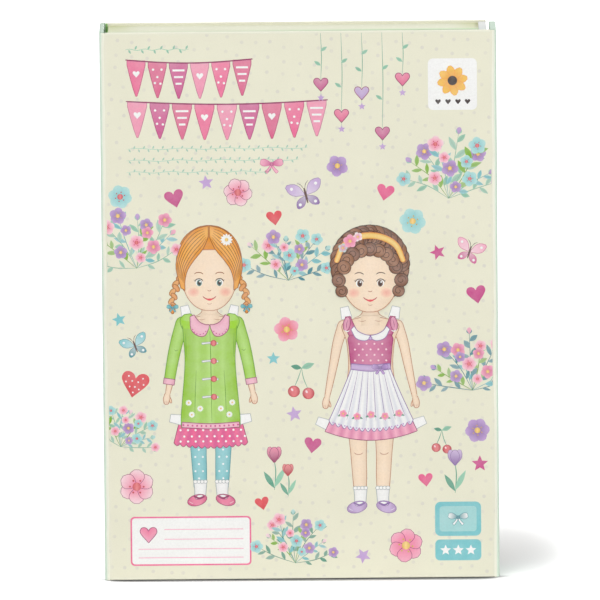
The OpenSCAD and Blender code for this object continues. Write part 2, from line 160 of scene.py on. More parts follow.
class Finish(Nodes):
    # A procedural material; its patterns start from the piece's own coordinates
    def __init__(self, name, roughness=0.6, specular=0.35):
        self.material = bpy.data.materials.new(name)
        self.material.use_nodes = True
        super().__init__(self.material.node_tree)
        self.surface = self.tree.nodes["Principled BSDF"].inputs
        self.give("Roughness", roughness)
        self.give("Specular IOR Level", specular)
        self.place = self.add("TexCoord").outputs["Object"]

    def give(self, name, value):
        self.feed(self.surface[name], value)

    def noise(self, size, detail=3.0, where=None):  # size in metres
        inputs = {"Vector": where or self.place, "Scale": 1 / size, "Detail": detail, "Roughness": 0.6}
        return self.add("TexNoise", inputs).outputs[0]

    def cloudy(self, size, low=0.0, high=1.0, detail=3.0, where=None):  # noise between two amounts
        return self.span(self.noise(size, detail, where), 0.3, 0.7, low, high)

    def attribute(self, name, output="Fac"):
        return self.add("Attribute", attribute_name=name).outputs[output]

    def axes(self):
        return self.add("SeparateXYZ", {0: self.place}).outputs

    def joined(self, *axes):  # a place made of two or three axes
        return self.add("CombineXYZ", dict(enumerate(axes))).outputs[0]

    def dots(self, where, spacing, radius, wander=0.2, turn=45):
        # Round dots on a turned square grid, each a little off its place; lengths in the units of where
        grid = self.add("Mapping", {"Vector": where, "Rotation": (0, 0, math.radians(turn))})
        inputs = {"Vector": grid.outputs[0], "Scale": 1 / spacing, "Randomness": wander}
        cells = self.add("TexVoronoi", inputs, voronoi_dimensions="2D")
        edge = radius / spacing
        return self.span(cells.outputs["Distance"], edge * 1.25, edge * 0.75)

    def bump(self, height, distance, strength):
        node = self.add("Bump", {"Strength": strength, "Distance": distance, "Height": height})
        self.give("Normal", node.outputs[0])

    def paper(self, colour, blotch=0.03, fibre=0.04):
        # Slow unevenness and fine fibres over a colour, with the fibres standing up a little
        slow, fine = (self.noise(fibres[key][0] * mm, fibres[key][1]) for key in ("slow", "fine"))
        light = self.plus(self.span(slow, 0.25, 0.75, 1 - blotch, 1 + blotch * 0.3),
                          self.span(fine, 0.25, 0.75, -fibre, fibre * 0.4))
        spread = self.add("CombineColor", dict.fromkeys(range(3), light))
        self.give("Base Color", self.mix(1.0, colour, spread.outputs[0], "MULTIPLY"))
        self.bump(fine, fibres["height"] * mm, 0.35)
        return self.material


fibres = {"slow": (24, 2), "fine": (0.35, 4), "height": 0.02}  # millimetres, and noise detail
wrapPrint = {  # lengths in millimetres, a fold's places in shares of its bend
    "dots": {"spacing": 6.7, "radius": 0.8, "wander": 0.42, "turn": 8},
    # a painted highlight along the bend: paler cream, pale mint and light mint before the plain mint
    "fold": ((0.02, 0.16, "foldCream"), (0.3, 0.38, "foldPale"), (0.42, 0.5, "foldMint"),
             (0.85, 1.0, "mint")),
    "hidden": ({"middle": -84.7, "half": 0.55, "soft": 0.05}, {"middle": 0, "half": 14.2, "soft": 0.1}),
    # the top edge's height band, where a top colour is painted shade
    "top": (243.9, 244.6),
}


def printedPaper(name, ground, rim, dot, fold=False, top=None, settings=wrapPrint):
    # Satin printed wrap, green at its hidden strip by the spine; "edge" marks its worn rims, and along
    # a fold "turn" the bend, where cream gives way to mint through a painted highlight, and "inside"
    # the paper's back; a top colour is painted shade on the top edge
    finish = Finish(name, 0.52, 0.4)
    spots = finish.dots(finish.add("UVMap", uv_map="print").outputs[0], **settings["dots"])
    colour = finish.mix(finish.times(spots, finish.cloudy(8 * mm, 0.35)), ground, dot)
    if fold:
        turn = finish.plus(finish.attribute("turn"), finish.cloudy(30 * mm, -0.07, 0.07, 2))
        # painted highlight across the bend
        for start, end, after in settings["fold"]:
            colour = finish.mix(finish.span(turn, start, end), colour, after)
        colour = finish.mix(finish.attribute("inside"), colour, "foldInside")
    x, y, z = finish.axes()
    across, deep = settings["hidden"]
    strip = finish.times(finish.within(x, **across), finish.within(y, **deep))
    worn = finish.span(finish.noise(2.5 * mm), 0.1, 0.6, 0.55, 1.0)
    colour = finish.mix(finish.times(finish.attribute("edge"), worn), colour, rim)
    # painted shade: the top edge is darker, where the lamp above lights it most
    if top:
        colour = finish.mix(finish.span(z, *(place * mm for place in settings["top"])), colour, top)
    return finish.paper(finish.mix(strip, colour, "gapGreen"), 0.025, 0.03)


# Painted shade on the tray's top: olive at both ends, darker at the right corner and towards the front
# under the cover, a dark seam line by the cover, and lining green as painted bounce light; the last row
# is the green paper of the wall by the spine
trayShadeAndGreenWall = (  # a colour, and its spans: axis, start and end in millimetres, amount before and after
    ("olive", ("x", -82, -68, 0.8, 0.0)),
    ("olive", ("x", 66, 79, 0.0, 0.75)),
    ("trayCorner", ("x", 77.4, 79.6, 0.0, 0.75)),
    ("trayFront", ("z", 241, 242, 0.0, 1.0), ("y", 9, -8, 0.0, 0.7)),
    ("lining", ("z", 241, 242, 0.0, 1.0), ("x", -50, 70, 0.15, 1.0), ("y", 2, -5, 0.0, 0.5)),
    ("traySeam", ("z", 241, 242, 0.0, 1.0), ("x", -50, 70, 0.15, 1.0), ("y", -3.2, -5.6, 0.0, 0.8)),
    ("gapGreen", ("x", -83.7, -83.9, 0.0, 1.0)),
)


def trayPrint(name):
    # The tray's dotted paper with painted shade: olive towards both ends, darker at the right corner
    # and under the cover's edge, a dark seam and green bounce light by the cover; green paper by the
    # spine
    finish = Finish(name, 0.55, 0.35)
    axes = dict(zip("xyz", finish.axes()))
    spots = finish.dots(finish.add("UVMap", uv_map="print").outputs[0], 6.6, 0.75)
    colour = finish.mix(finish.times(spots, 0.6), shade(228, 229, 204), shade(240, 241, 222))
    for ink, *spans in trayShadeAndGreenWall:
        amount = 1.0
        for axis, start, end, before, after in spans:
            amount = finish.times(amount, finish.span(axes[axis], start * mm, end * mm, before, after))
        colour = finish.mix(amount, colour, ink)
    return finish.paper(colour, 0.025, 0.03)


def spotted(name, ground, dot, spacing, radius, across="x", fibre=0.03):
    finish = Finish(name, 0.6, 0.3)
    axes = dict(zip("xyz", finish.axes()))
    spots = finish.dots(finish.joined(axes[across], axes["z"]), spacing * mm, radius * mm, 0.0)
    return finish.paper(finish.mix(spots, ground, dot), 0.03, fibre)


pencils = {
    "levels": ((232, 92, 134), (244, 168, 66), (140, 198, 90), (92, 180, 188), (158, 128, 200)),
    "first": 46.1, "pitch": 7.1, "cone": 14, "ring": 5, "dip": 3.5, "soft": 0.1,
}


def pencilPaint(name, colour, settings=pencils):
    # Lacquer with a dark dipped end and a white ring, and bare wood from the sharpened cone on
    finish = Finish(name, 0.3, 0.5)
    x, y, z = finish.axes()
    low, high = (corner.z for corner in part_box("pencil_1"))
    cone, soft = high - settings["cone"] * mm, settings["soft"] * mm
    ragged = finish.plus(z, finish.cloudy(1.6 * mm, -3 * soft, 3 * soft, 2))
    wooden = finish.span(ragged, cone - 1.5 * soft, cone + 1.5 * soft)
    grain = finish.joined(x, y, finish.times(z, 0.08))
    wood = finish.mix(finish.cloudy(0.5 * mm, where=grain), "wood", "woodDark")
    ring, dip = (low + settings[key] * mm for key in ("ring", "dip"))
    ringed = finish.mix(finish.span(z, ring + soft, ring - soft), colour, "snow")
    dipped = finish.mix(finish.span(z, dip + soft, dip - soft), ringed, scaled(colour, 0.45))
    finish.give("Roughness", finish.span(wooden, 0.0, 1.0, 0.28, 0.75))
    return finish.paper(finish.mix(wooden, dipped, wood), 0.03, 0.03)


def leadPaint(name, settings=pencils):  # one colour for each pencil across the row
    finish = Finish(name, 0.55, 0.4)
    x = finish.axes()[0]
    colours = [scaled(shade(*level), 0.85) for level in settings["levels"]]
    mixture = colours[0]
    for k, after in enumerate(colours[1:]):
        middle = settings["first"] + settings["pitch"] * (k + 0.5)
        start, end = ((middle + way * settings["soft"]) * mm for way in (-1, 1))
        mixture = finish.mix(finish.span(x, start, end), mixture, after)
    return finish.paper(mixture, 0.05, 0.06)


bandPrint = (("teal", 3.1, 2.9), ("tealPale", 1.9, 1.8))  # a colour, and where it starts and is full


def bandPaper(name):
    finish = Finish(name, 0.55, 0.35)
    x, y, z = finish.axes()
    low, high = (corner.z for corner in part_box("pencil_band"))
    colour = finish.mix(finish.dots(finish.joined(x, z), 4.4 * mm, 0.75 * mm, 0.0), "snow", "pink")
    for rim, way in ((low, mm), (high, -mm)):
        for ink, start, full in bandPrint:
            colour = finish.mix(finish.span(z, rim + way * start, rim + way * full), colour, ink)
    return finish.paper(colour, 0.03, 0.04)


def plainPaper(name, colour):
    return Finish(name, 0.62, 0.3).paper(colour, 0.03, 0.045)


def wallPaper(name, back, front):  # the thick wall's white paper, with painted shade making it duller towards the cover
    finish = Finish(name, 0.62, 0.3)
    y = finish.axes()[1]
    return finish.paper(finish.mix(finish.span(y, 8 * mm, -12 * mm), back, front), 0.03, 0.045)


def greyBoard(name):
    # Recycled board: mottled grey with darker and lighter flecks
    finish = Finish(name, 0.9, 0.15)
    flecks = finish.span(finish.noise(0.8 * mm, 5), 0.56, 0.68)
    colour = finish.mix(flecks, "grey", shade(196, 190, 178))
    dark = finish.span(finish.noise(0.5 * mm, 2), 0.66, 0.72)
    return finish.paper(finish.mix(dark, colour, shade(112, 104, 96)), 0.06, 0.1)


def printInk(name):
    # Watercolour printed on satin paper: the shapes' own colour, pooled and granulated
    finish = Finish(name, 0.5, 0.4)
    colour = finish.attribute("ink", "Color")
    pale = finish.mix(finish.cloudy(5 * mm, 0.0, 0.08), colour, "snow")
    grain = finish.span(finish.noise(0.9 * mm, 5), 0.35, 0.72, 0.0, 0.06)
    return finish.paper(finish.mix(grain, pale, "ink"), 0.03, 0.04)


def metal(name, colour, roughness):
    finish = Finish(name, roughness)
    finish.give("Metallic", 1.0)
    scuffs = finish.noise(0.4 * mm, 4)
    finish.give("Roughness", finish.span(scuffs, 0.3, 0.7, roughness - 0.08, roughness + 0.12))
    finish.give("Base Color", finish.mix(scuffs, colour, scaled(colour, 0.8)))
    finish.bump(scuffs, 0.01 * mm, 0.2)
    return finish.material


finishes = {
    "cover_print": printedPaper("cover_print", "cream", "rim", "dot"),
    "mint_print": printedPaper("mint_print", "mint", "mintRim", "mint", top="mintTop"),
    "fold_print": printedPaper("fold_print", "cream", "rim", "dot", True),
    "tray_print": trayPrint("tray_print"),
    "liningAcrossX": spotted("lining_paper_wide", "liningDot", "snow", 9, 1.1),
    "liningAcrossY": spotted("lining_paper_narrow", "liningDot", "snow", 9, 1.1, "y"),
    "white_paper": wallPaper("white_paper", shade(230, 231, 229), shade(214, 220, 216)),
    "sheet": plainPaper("sheet_paper", shade(244, 240, 226)),
    "insert": spotted("insert_card", shade(242, 214, 216), shade(250, 238, 236), 8, 1.0, fibre=0.04),
    "card": plainPaper("doll_card", "card"),
    "outfit": plainPaper("outfit_paper", "snow"),
    "foot": plainPaper("foot_card", "leaf"),
    "board": greyBoard("greyboard"),
    "ink": printInk("print_ink"),
    "magnet": metal("nickel_magnet", shade(196, 196, 200), 0.22),
    "keeper": metal("steel_keeper", shade(170, 172, 174), 0.38),
    "band": bandPaper("band_paper"),
    "lead": leadPaint("pencil_lead"),
}
for k, level in enumerate(pencils["levels"]):
    finishes["pencil%d" % (k + 1)] = pencilPaint("pencil_lacquer_%d" % (k + 1), shade(*level))
print("finishes made")


# Camera, light and floor

studio = {
    "sensor": 36, "pixels": 600, "clip": (0.5, 60), "lampAim": (0, 0, 0.12),
    "distance": 6.0, "azimuth": 0.0, "elevation": 9.4, "roll": 0.5, "pixelsPerMm": 2.263,
    "aim": (0.0, 0, 122.5), "world": 0.36, "floor": 8.0, "under": 0.02, "floorGlow": (0.19, 0.75),
    "lamps": (("above", (-0.30, -0.75, 3.0), 1.3, 43.0), ("left", (-0.9, -3.0, 0.55), 1.6, 18.0),
              ("right", (1.7, -2.5, 0.55), 1.6, 20.0), ("behind", (0.5, 2.9, 0.5), 1.6, 19.0)),
    "fade": {"wide": 0.044, "deep": 0.105, "middle": 0.045, "soft": (0.2, 1.25),
             "left": (0.06, -0.085)},
    # the painted contact shadow: its reach and samples, where it fades, and where it is kept or left
    # out
    "contact": {"reach": 0.014, "samples": 24, "open": (0.565, 0.93), "front": (-0.017, -0.011),
                "clear": (0.0858, 0.088, 0.1, 0.112)},
    # the floor's plain colour, and the dark colour of its painted contact shadow
    "plain": 0.92, "dark": 0.1,
}


def addCamera(settings):
    data = bpy.data.cameras.new("camera")
    camera = bpy.data.objects.new("camera", data)
    scene.collection.objects.link(camera)
    turn, lift = math.radians(settings["azimuth"]), math.radians(settings["elevation"])
    back = Vector((math.sin(turn) * math.cos(lift), -math.cos(turn) * math.cos(lift), math.sin(lift)))
    camera.location = Vector(settings["aim"]) * mm + back * settings["distance"]
    look = (-back).to_track_quat("-Z", "Y").to_matrix().to_4x4()
    look = look @ Matrix.Rotation(math.radians(-settings["roll"]), 4, "Z")
    camera.rotation_mode = "QUATERNION"
    camera.rotation_quaternion = look.to_quaternion()
    frontAway = settings["distance"] - cadBox[1].y * math.cos(lift)
    data.sensor_width = settings["sensor"]
    data.lens = settings["sensor"] * frontAway * settings["pixelsPerMm"] / (settings["pixels"] * mm)
    data.clip_start, data.clip_end = settings["clip"]
    scene.camera = camera


def addLight(settings):
    # The world shows white to the camera and in mirrors, and lights the rest more dimly
    scene.world = bpy.data.worlds.new("studio")
    scene.world.use_nodes = True
    world = Nodes(scene.world.node_tree)
    shown = world.tree.nodes["Background"]
    world.feed(shown.inputs["Color"], "clear")
    path = world.add("LightPath").outputs
    seen = path["Is Camera Ray"]
    for kind in ("Glossy", "Transmission"):
        seen = world.larger(seen, path["Is %s Ray" % kind])
    world.feed(shown.inputs["Strength"], world.span(seen, 0.0, 1.0, settings["world"], 1.0))
    for name, place, size, energy in settings["lamps"]:
        lamp = bpy.data.lights.new(name, "AREA")
        lamp.shape, lamp.size, lamp.energy = "DISK", size, energy
        held = bpy.data.objects.new(name, lamp)
        scene.collection.objects.link(held)
        held.location = place
        held.rotation_mode = "QUATERNION"
        way = Vector(settings["lampAim"]) - held.location
        held.rotation_quaternion = way.to_track_quat("-Z", "Y")


def addFloor(settings):
    # Lit as a plain white floor, but shown a little brighter, so that only the soft shade at the right
    # is left, and a painted contact shadow, a thin dark line where something stands on it
    bm = bmesh.new()
    bmesh.ops.create_grid(bm, x_segments=1, y_segments=1, size=settings["floor"])
    bmesh.ops.translate(bm, verts=bm.verts[:], vec=(0, 0, -settings["under"] * mm))
    mesh = bpy.data.meshes.new("floor")
    bm.to_mesh(mesh)
    bm.free()
    floor = bpy.data.objects.new("floor", mesh)
    scene.collection.objects.link(floor)
    finish = Finish("floor_sweep", 0.9, 0.0)
    x, y, z = finish.axes()
    fade, contact = settings["fade"], settings["contact"]
    beside = finish.larger(finish.math("SUBTRACT", x, cadBox[1].x), 0.0)
    behind = finish.math("SUBTRACT", y, fade["middle"])
    away = finish.joined(finish.times(beside, 1 / fade["wide"]), finish.times(behind, 1 / fade["deep"]))
    patch = finish.add("VectorMath", {0: away}, operation="LENGTH").outputs["Value"]
    far = finish.larger(finish.span(patch, *fade["soft"]), finish.span(x, *fade["left"]))
    # painted contact shadow: the floor is dark for the camera where something stands near it, except
    # beside the closed box
    near = finish.add("AmbientOcclusion", {"Distance": contact["reach"]}, samples=contact["samples"])
    side = finish.math("ABSOLUTE", x)
    start, full, last, end = contact["clear"]
    clear = finish.times(finish.span(side, start, full), finish.span(side, end, last))
    clear = finish.times(finish.span(y, *contact["front"]), clear)
    unshaded = finish.larger(finish.span(near.outputs["AO"], *contact["open"]), clear)
    seen = finish.add("LightPath").outputs["Is Camera Ray"]
    dark = finish.times(seen, finish.math("SUBTRACT", 1.0, unshaded))
    plain, deep = ((settings[key],) * 3 + (1,) for key in ("plain", "dark"))
    finish.give("Base Color", finish.mix(dark, plain, deep))
    glow = finish.times(unshaded, finish.span(far, 0.0, 1.0, *settings["floorGlow"]))
    finish.give("Emission Color", "clear")
    finish.give("Emission Strength", finish.times(seen, glow))
    mesh.materials.append(finish.material)


addCamera(studio)
addLight(studio)
addFloor(studio)
scene.view_settings.view_transform = "Standard"
print("camera, light and floor set")


# The case: wrapped boards, folds and tray

def addPiece(name, bm, body, slot, finish=None, replaced=()):
    mesh = bpy.data.meshes.new(name)
    bm.to_mesh(mesh)
    bm.free()
    mesh.materials.append(finishes[finish or slot])
    piece = bpy.data.objects.new(name, mesh)
    scene.collection.objects.link(piece)
    if body:
        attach(piece, body)
    if replaced:
        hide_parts(*replaced)
    return piece


def boxFrom(low, high):
    bm = bmesh.new()
    bmesh.ops.create_cube(bm, size=1)
    bmesh.ops.scale(bm, verts=bm.verts[:], vec=high - low)
    bmesh.ops.translate(bm, verts=bm.verts[:], vec=(low + high) / 2)
    return bm


def widest(bm, direction):  # the largest face that looks that way
    facing = [f for f in bm.faces if f.normal.dot(direction) > 0.99]
    return max(facing, key=lambda f: f.calc_area())


def push(bm, faces, move):
    pushed = bmesh.ops.extrude_face_region(bm, geom=faces)["geom"]
    bmesh.ops.translate(bm, verts=[g for g in pushed if isinstance(g, bmesh.types.BMVert)], vec=move)


def sink(bm, face, move):
    push(bm, [face], move)
    bmesh.ops.delete(bm, geom=[face], context="FACES_ONLY")


def layPrint(bm):  # print coordinates in millimetres, on each face across its own plane
    layer = bm.loops.layers.uv.new("print")
    for face in bm.faces:
        away = [abs(c) for c in face.normal]
        across, up = {0: (1, 2), 1: (0, 2), 2: (0, 1)}[away.index(max(away))]
        for loop in face.loops:
            loop[layer].uv = (loop.vert.co[across] / mm, loop.vert.co[up] / mm)


wrapping = {  # lengths in millimetres, blendAt in metres
    "bevel": 0.45, "steps": 3, "rim": 1.2, "turnIn": 3.9, "recess": 0.05,
    "paper": 0.25, "turns": 14, "wall": 2.0, "floor": 0.1, "blendAt": 0.12,
}
close = 0.01 * mm


def soften(bm, edges, settings=wrapping):
    bmesh.ops.bevel(bm, geom=edges, offset=settings["bevel"] * mm, affect="EDGES",
                    segments=settings["steps"], profile=0.5, material=-1)


def wearEdges(bm, edgeAway, amount=1.0, settings=wrapping):  # marks the bevelled edges as worn
    worn = bm.verts.layers.float.new("edge")
    for vert in bm.verts:
        vert[worn] = amount if edgeAway(vert.co) < settings["bevel"] * 1.05 * mm else 0.0


def wrappedBoard(name, node, body, out, folds, slot, settings=wrapping):
    # A board in its wrap: soft edges, sharp only where a fold carries on, and a recess for the lining
    low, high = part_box(node)
    out = Vector(out)
    bm = boxFrom(low, high)
    side = Vector((abs(out.y), abs(out.x), 0))
    ends = {1: high.dot(side), -1: low.dot(side)}
    face = max(low.dot(out), high.dot(out))

    def folded(edge):
        middle = (edge.verts[0].co + edge.verts[1].co) / 2
        upright = abs(edge.verts[0].co.z - edge.verts[1].co.z) > 1 * mm
        onFace = abs(middle.dot(out) - face) < close
        return upright and onFace and any(abs(middle.dot(side) - ends[end]) < close for end in folds)

    def edgeAway(place):
        gaps = [abs(place.dot(side) - ends[end]) for end in (-1, 1) if end not in folds]
        return min(place.z - low.z, high.z - place.z, *gaps)

    soften(bm, [e for e in bm.edges if not folded(e)])
    inner = widest(bm, -out)
    bmesh.ops.inset_region(bm, faces=[inner], thickness=(settings["turnIn"] - settings["bevel"]) * mm)
    sink(bm, inner, out * settings["recess"] * mm)
    bmesh.ops.inset_region(bm, faces=[widest(bm, out)], thickness=settings["rim"] * mm)
    wearEdges(bm, edgeAway)
    layPrint(bm)
    addPiece(name, bm, body, slot, replaced=(node,))


def foldedPaper(name, node, centre, start, turn, printStart, settings=wrapping):
    # The wrap where it turns a corner: an edge spun a quarter round, given the paper's thickness
    low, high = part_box(node)
    bm = bmesh.new()
    ends = [bm.verts.new((*start, z)) for z in (low.z, high.z)]
    middle = Vector((*centre, 0))
    bmesh.ops.spin(bm, geom=ends + [bm.edges.new(ends)], cent=middle, axis=(0, 0, 1),
                   angle=math.radians(turn), steps=settings["turns"])
    bmesh.ops.recalc_face_normals(bm, faces=bm.faces[:])
    sample = bm.faces[:][0]
    if sample.normal.dot(sample.calc_center_median() - middle) < 0:
        bmesh.ops.reverse_faces(bm, faces=bm.faces[:])
    bmesh.ops.solidify(bm, geom=bm.faces[:], thickness=settings["paper"] * mm)
    first = Vector((*start, 0)) - middle
    turned = bm.verts.layers.float.new("turn")
    hidden = bm.verts.layers.float.new("inside")
    layer = bm.loops.layers.uv.new("print")
    way = 1 if turn > 0 else -1
    for vert in bm.verts:
        arm = Vector((vert.co.x, vert.co.y, 0)) - middle
        vert[turned] = way * math.atan2(first.cross(arm).z, first.dot(arm)) / (math.pi / 2)
        vert[hidden] = 1.0 if arm.length < first.length - settings["paper"] / 2 * mm else 0.0
    for face in bm.faces:
        for loop in face.loops:
            run = loop.vert[turned] * first.length * math.pi / 2 / mm
            loop[layer].uv = (printStart[0] + printStart[1] * run, loop.vert.co.z / mm)
    piece = addPiece(name, bm, None, "cover_print", "fold_print", (node,))
    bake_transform(piece)


def trayPaper(name, node, body, settings=wrapping):
    # Three wrapped walls: a box hollowed from the front, then cut open where the double wall stands
    low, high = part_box(node)
    wall = settings["wall"] * mm
    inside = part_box("tray_floor_lining")[0].y + settings["floor"] * mm
    bm = boxFrom(low, Vector((high.x + wall, high.y, high.z)))
    front = widest(bm, Vector((0, -1, 0)))
    bmesh.ops.inset_region(bm, faces=[front], thickness=wall)
    sink(bm, front, (0, inside - low.y, 0))
    front = [e for e in bm.edges if all(v.co.y < low.y + close for v in e.verts)]
    soft = [e for e in front if e.calc_face_angle(0) > 0.5]
    soft += [e for e in bm.edges if all(v.co.x < low.x + close for v in e.verts) and e not in soft]
    soften(bm, soft)
    everything = bm.verts[:] + bm.edges[:] + bm.faces[:]
    cut = bmesh.ops.bisect_plane(bm, geom=everything, plane_co=(high.x, 0, 0), plane_no=(1, 0, 0),
                                 clear_outer=True)
    cutEdges = [g for g in cut["geom_cut"] if isinstance(g, bmesh.types.BMEdge)]
    bmesh.ops.contextual_create(bm, geom=cutEdges)
    wearEdges(bm, lambda place: place.y - low.y, 0.8)
    layPrint(bm)
    addPiece(name, bm, body, "tray_print", replaced=(node,))


def sideWallPaper(name, node, body):
    bm = boxFrom(*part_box(node))
    soften(bm, [e for e in bm.edges if any(v.co.y < 0 for v in e.verts)])
    addPiece(name, bm, body, "white_paper", replaced=(node,))


wrappedBoard("front_cover", "front_wrap", "cover_body", (0, -1, 0), (-1, 1), "cover_print")
wrappedBoard("back_cover", "back_wrap", "tray_body", (0, 1, 0), (-1,), "cover_print")
wrappedBoard("spine", "spine_wrap", "spine_body", (-1, 0, 0), (-1, 1), "mint_print")
wrappedBoard("flap", "flap_wrap", "flap_body", (1, 0, 0), (-1,), "mint_print")
hinge = {"x": 85.1, "y": 13.6, "r": 2.4}
for end, bodies, right, back, turn in (("front", ("cover_body", "spine_body"), -1, -1, -90),
                                       ("back", ("tray_body", "spine_body"), -1, 1, 90),
                                       ("flap", ("cover_body", "flap_body"), 1, -1, 90)):
    x, y, r = right * hinge["x"], back * hinge["y"] * mm, back * hinge["r"] * mm
    middle, start = (x * mm, y), (x * mm, y + r)
    foldedPaper("fold_" + end, "hinge_paper_" + end, middle, start, turn, (x, right))
trayPaper("tray_walls", "tray_wrap", "tray_body")
sideWallPaper("tray_side_wall", "tray_flap_wrap", "tray_body")
print("case built")

plainNodes = {
    "board": ["front_board", "spine_board", "back_board", "flap_board", "tray_floor", "tray_top_wall",
              "tray_bottom_wall", "tray_spine_wall", "tray_flap_wall_inner", "tray_flap_wall_outer"],
    "liningAcrossX": ["front_lining", "back_lining", "tray_floor_lining"],
    "liningAcrossY": ["spine_lining", "flap_lining"],
    "magnet": ["flap_magnet_lower", "flap_magnet_upper"],
    "keeper": ["keeper_lower", "keeper_upper"],
    "insert": ["insert"],
    "sheet": ["outfit_sheet_1", "outfit_sheet_2", "outfit_sheet_3", "outfit_sheet_4"],
    "card": ["doll_1", "doll_2"],
    "outfit": ["dress_1", "coat_2"],
    "foot": ["doll_foot_1", "doll_foot_2"],
    "lead": ["pencil_leads"],
    "band": ["pencil_band"],
}
plainNodes.update(("pencil%d" % k, ["pencil_%d" % k]) for k in range(1, 6))
for finish, names in plainNodes.items():
    for node in names:
        nodes[node].data.materials.clear()
        nodes[node].data.materials.append(finishes[finish])


# The print: watercolour shapes, each a very thin film on the face that carries it

brushes = {}


def brush(rows, columns):  # a closed thin plate from -1 to 1 both ways and 0 to 1 through
    if (rows, columns) not in brushes:
        plate = bmesh.new()
        bmesh.ops.create_grid(plate, x_segments=columns, y_segments=rows, size=1)
        push(plate, plate.faces[:], (0, 0, 1))
        under = [f for f in plate.faces if all(v.co.z < 0.5 for v in f.verts)]
        bmesh.ops.dissolve_faces(plate, faces=under)
        bmesh.ops.recalc_face_normals(plate, faces=plate.faces[:])
        mesh = bpy.data.meshes.new("brush")
        plate.to_mesh(mesh)
        plate.free()
        brushes[rows, columns] = mesh
    return brushes[rows, columns]


def curved(points, steps=5):  # a smooth path through points of any number of values
    points = [Vector(p) for p in points]
    if len(points) < 3:
        return points
    ends = [points[0] * 2 - points[1]] + points + [points[-1] * 2 - points[-2]]
    path = []
    for a, b, c, d in zip(ends, ends[1:], ends[2:], ends[3:]):
        for step in range(steps):
            t = step / steps
            path.append(b + (c - a) * t / 2 + (2 * a - 5 * b + 4 * c - d) * t * t / 2
                        + (3 * b - a - 3 * c + d) * t ** 3 / 2)
    return path + [points[-1]]


def arc(x, z, rx, rz, start, end, count=7):  # points of part of an ellipse, angles in degrees
    turns = [math.radians(start + (end - start) * i / (count - 1)) for i in range(count)]
    return [(x + rx * math.cos(t), z + rz * math.sin(t)) for t in turns]


def spot(x, z, size=1.0, turn=0.0):  # a motif's own place: local points to points on the face
    c, s = math.cos(math.radians(turn)), math.sin(math.radians(turn))
    return lambda a, b: Vector((x + size * (a * c - b * s), z + size * (a * s + b * c)))


def rounded(colour, depth=0.2, light=0.16):  # darker at both sides, lighter in the middle
    sides, middle = scaled(colour, 1 - depth), mixed(colour, "snow", light)
    return lambda u, v: mixed(sides, middle, math.sin(math.pi * u))


def along(first, last):
    return lambda u, v: mixed(first, last, v)


def pleated(colour, dark, folds, soft=0.55):  # folds that run along a skirt
    def fold(u, v):
        depth = 0.5 - 0.5 * math.cos(2 * math.pi * folds * u)
        return mixed(colour, dark, soft * (0.25 + 0.75 * v) * depth)
    return fold


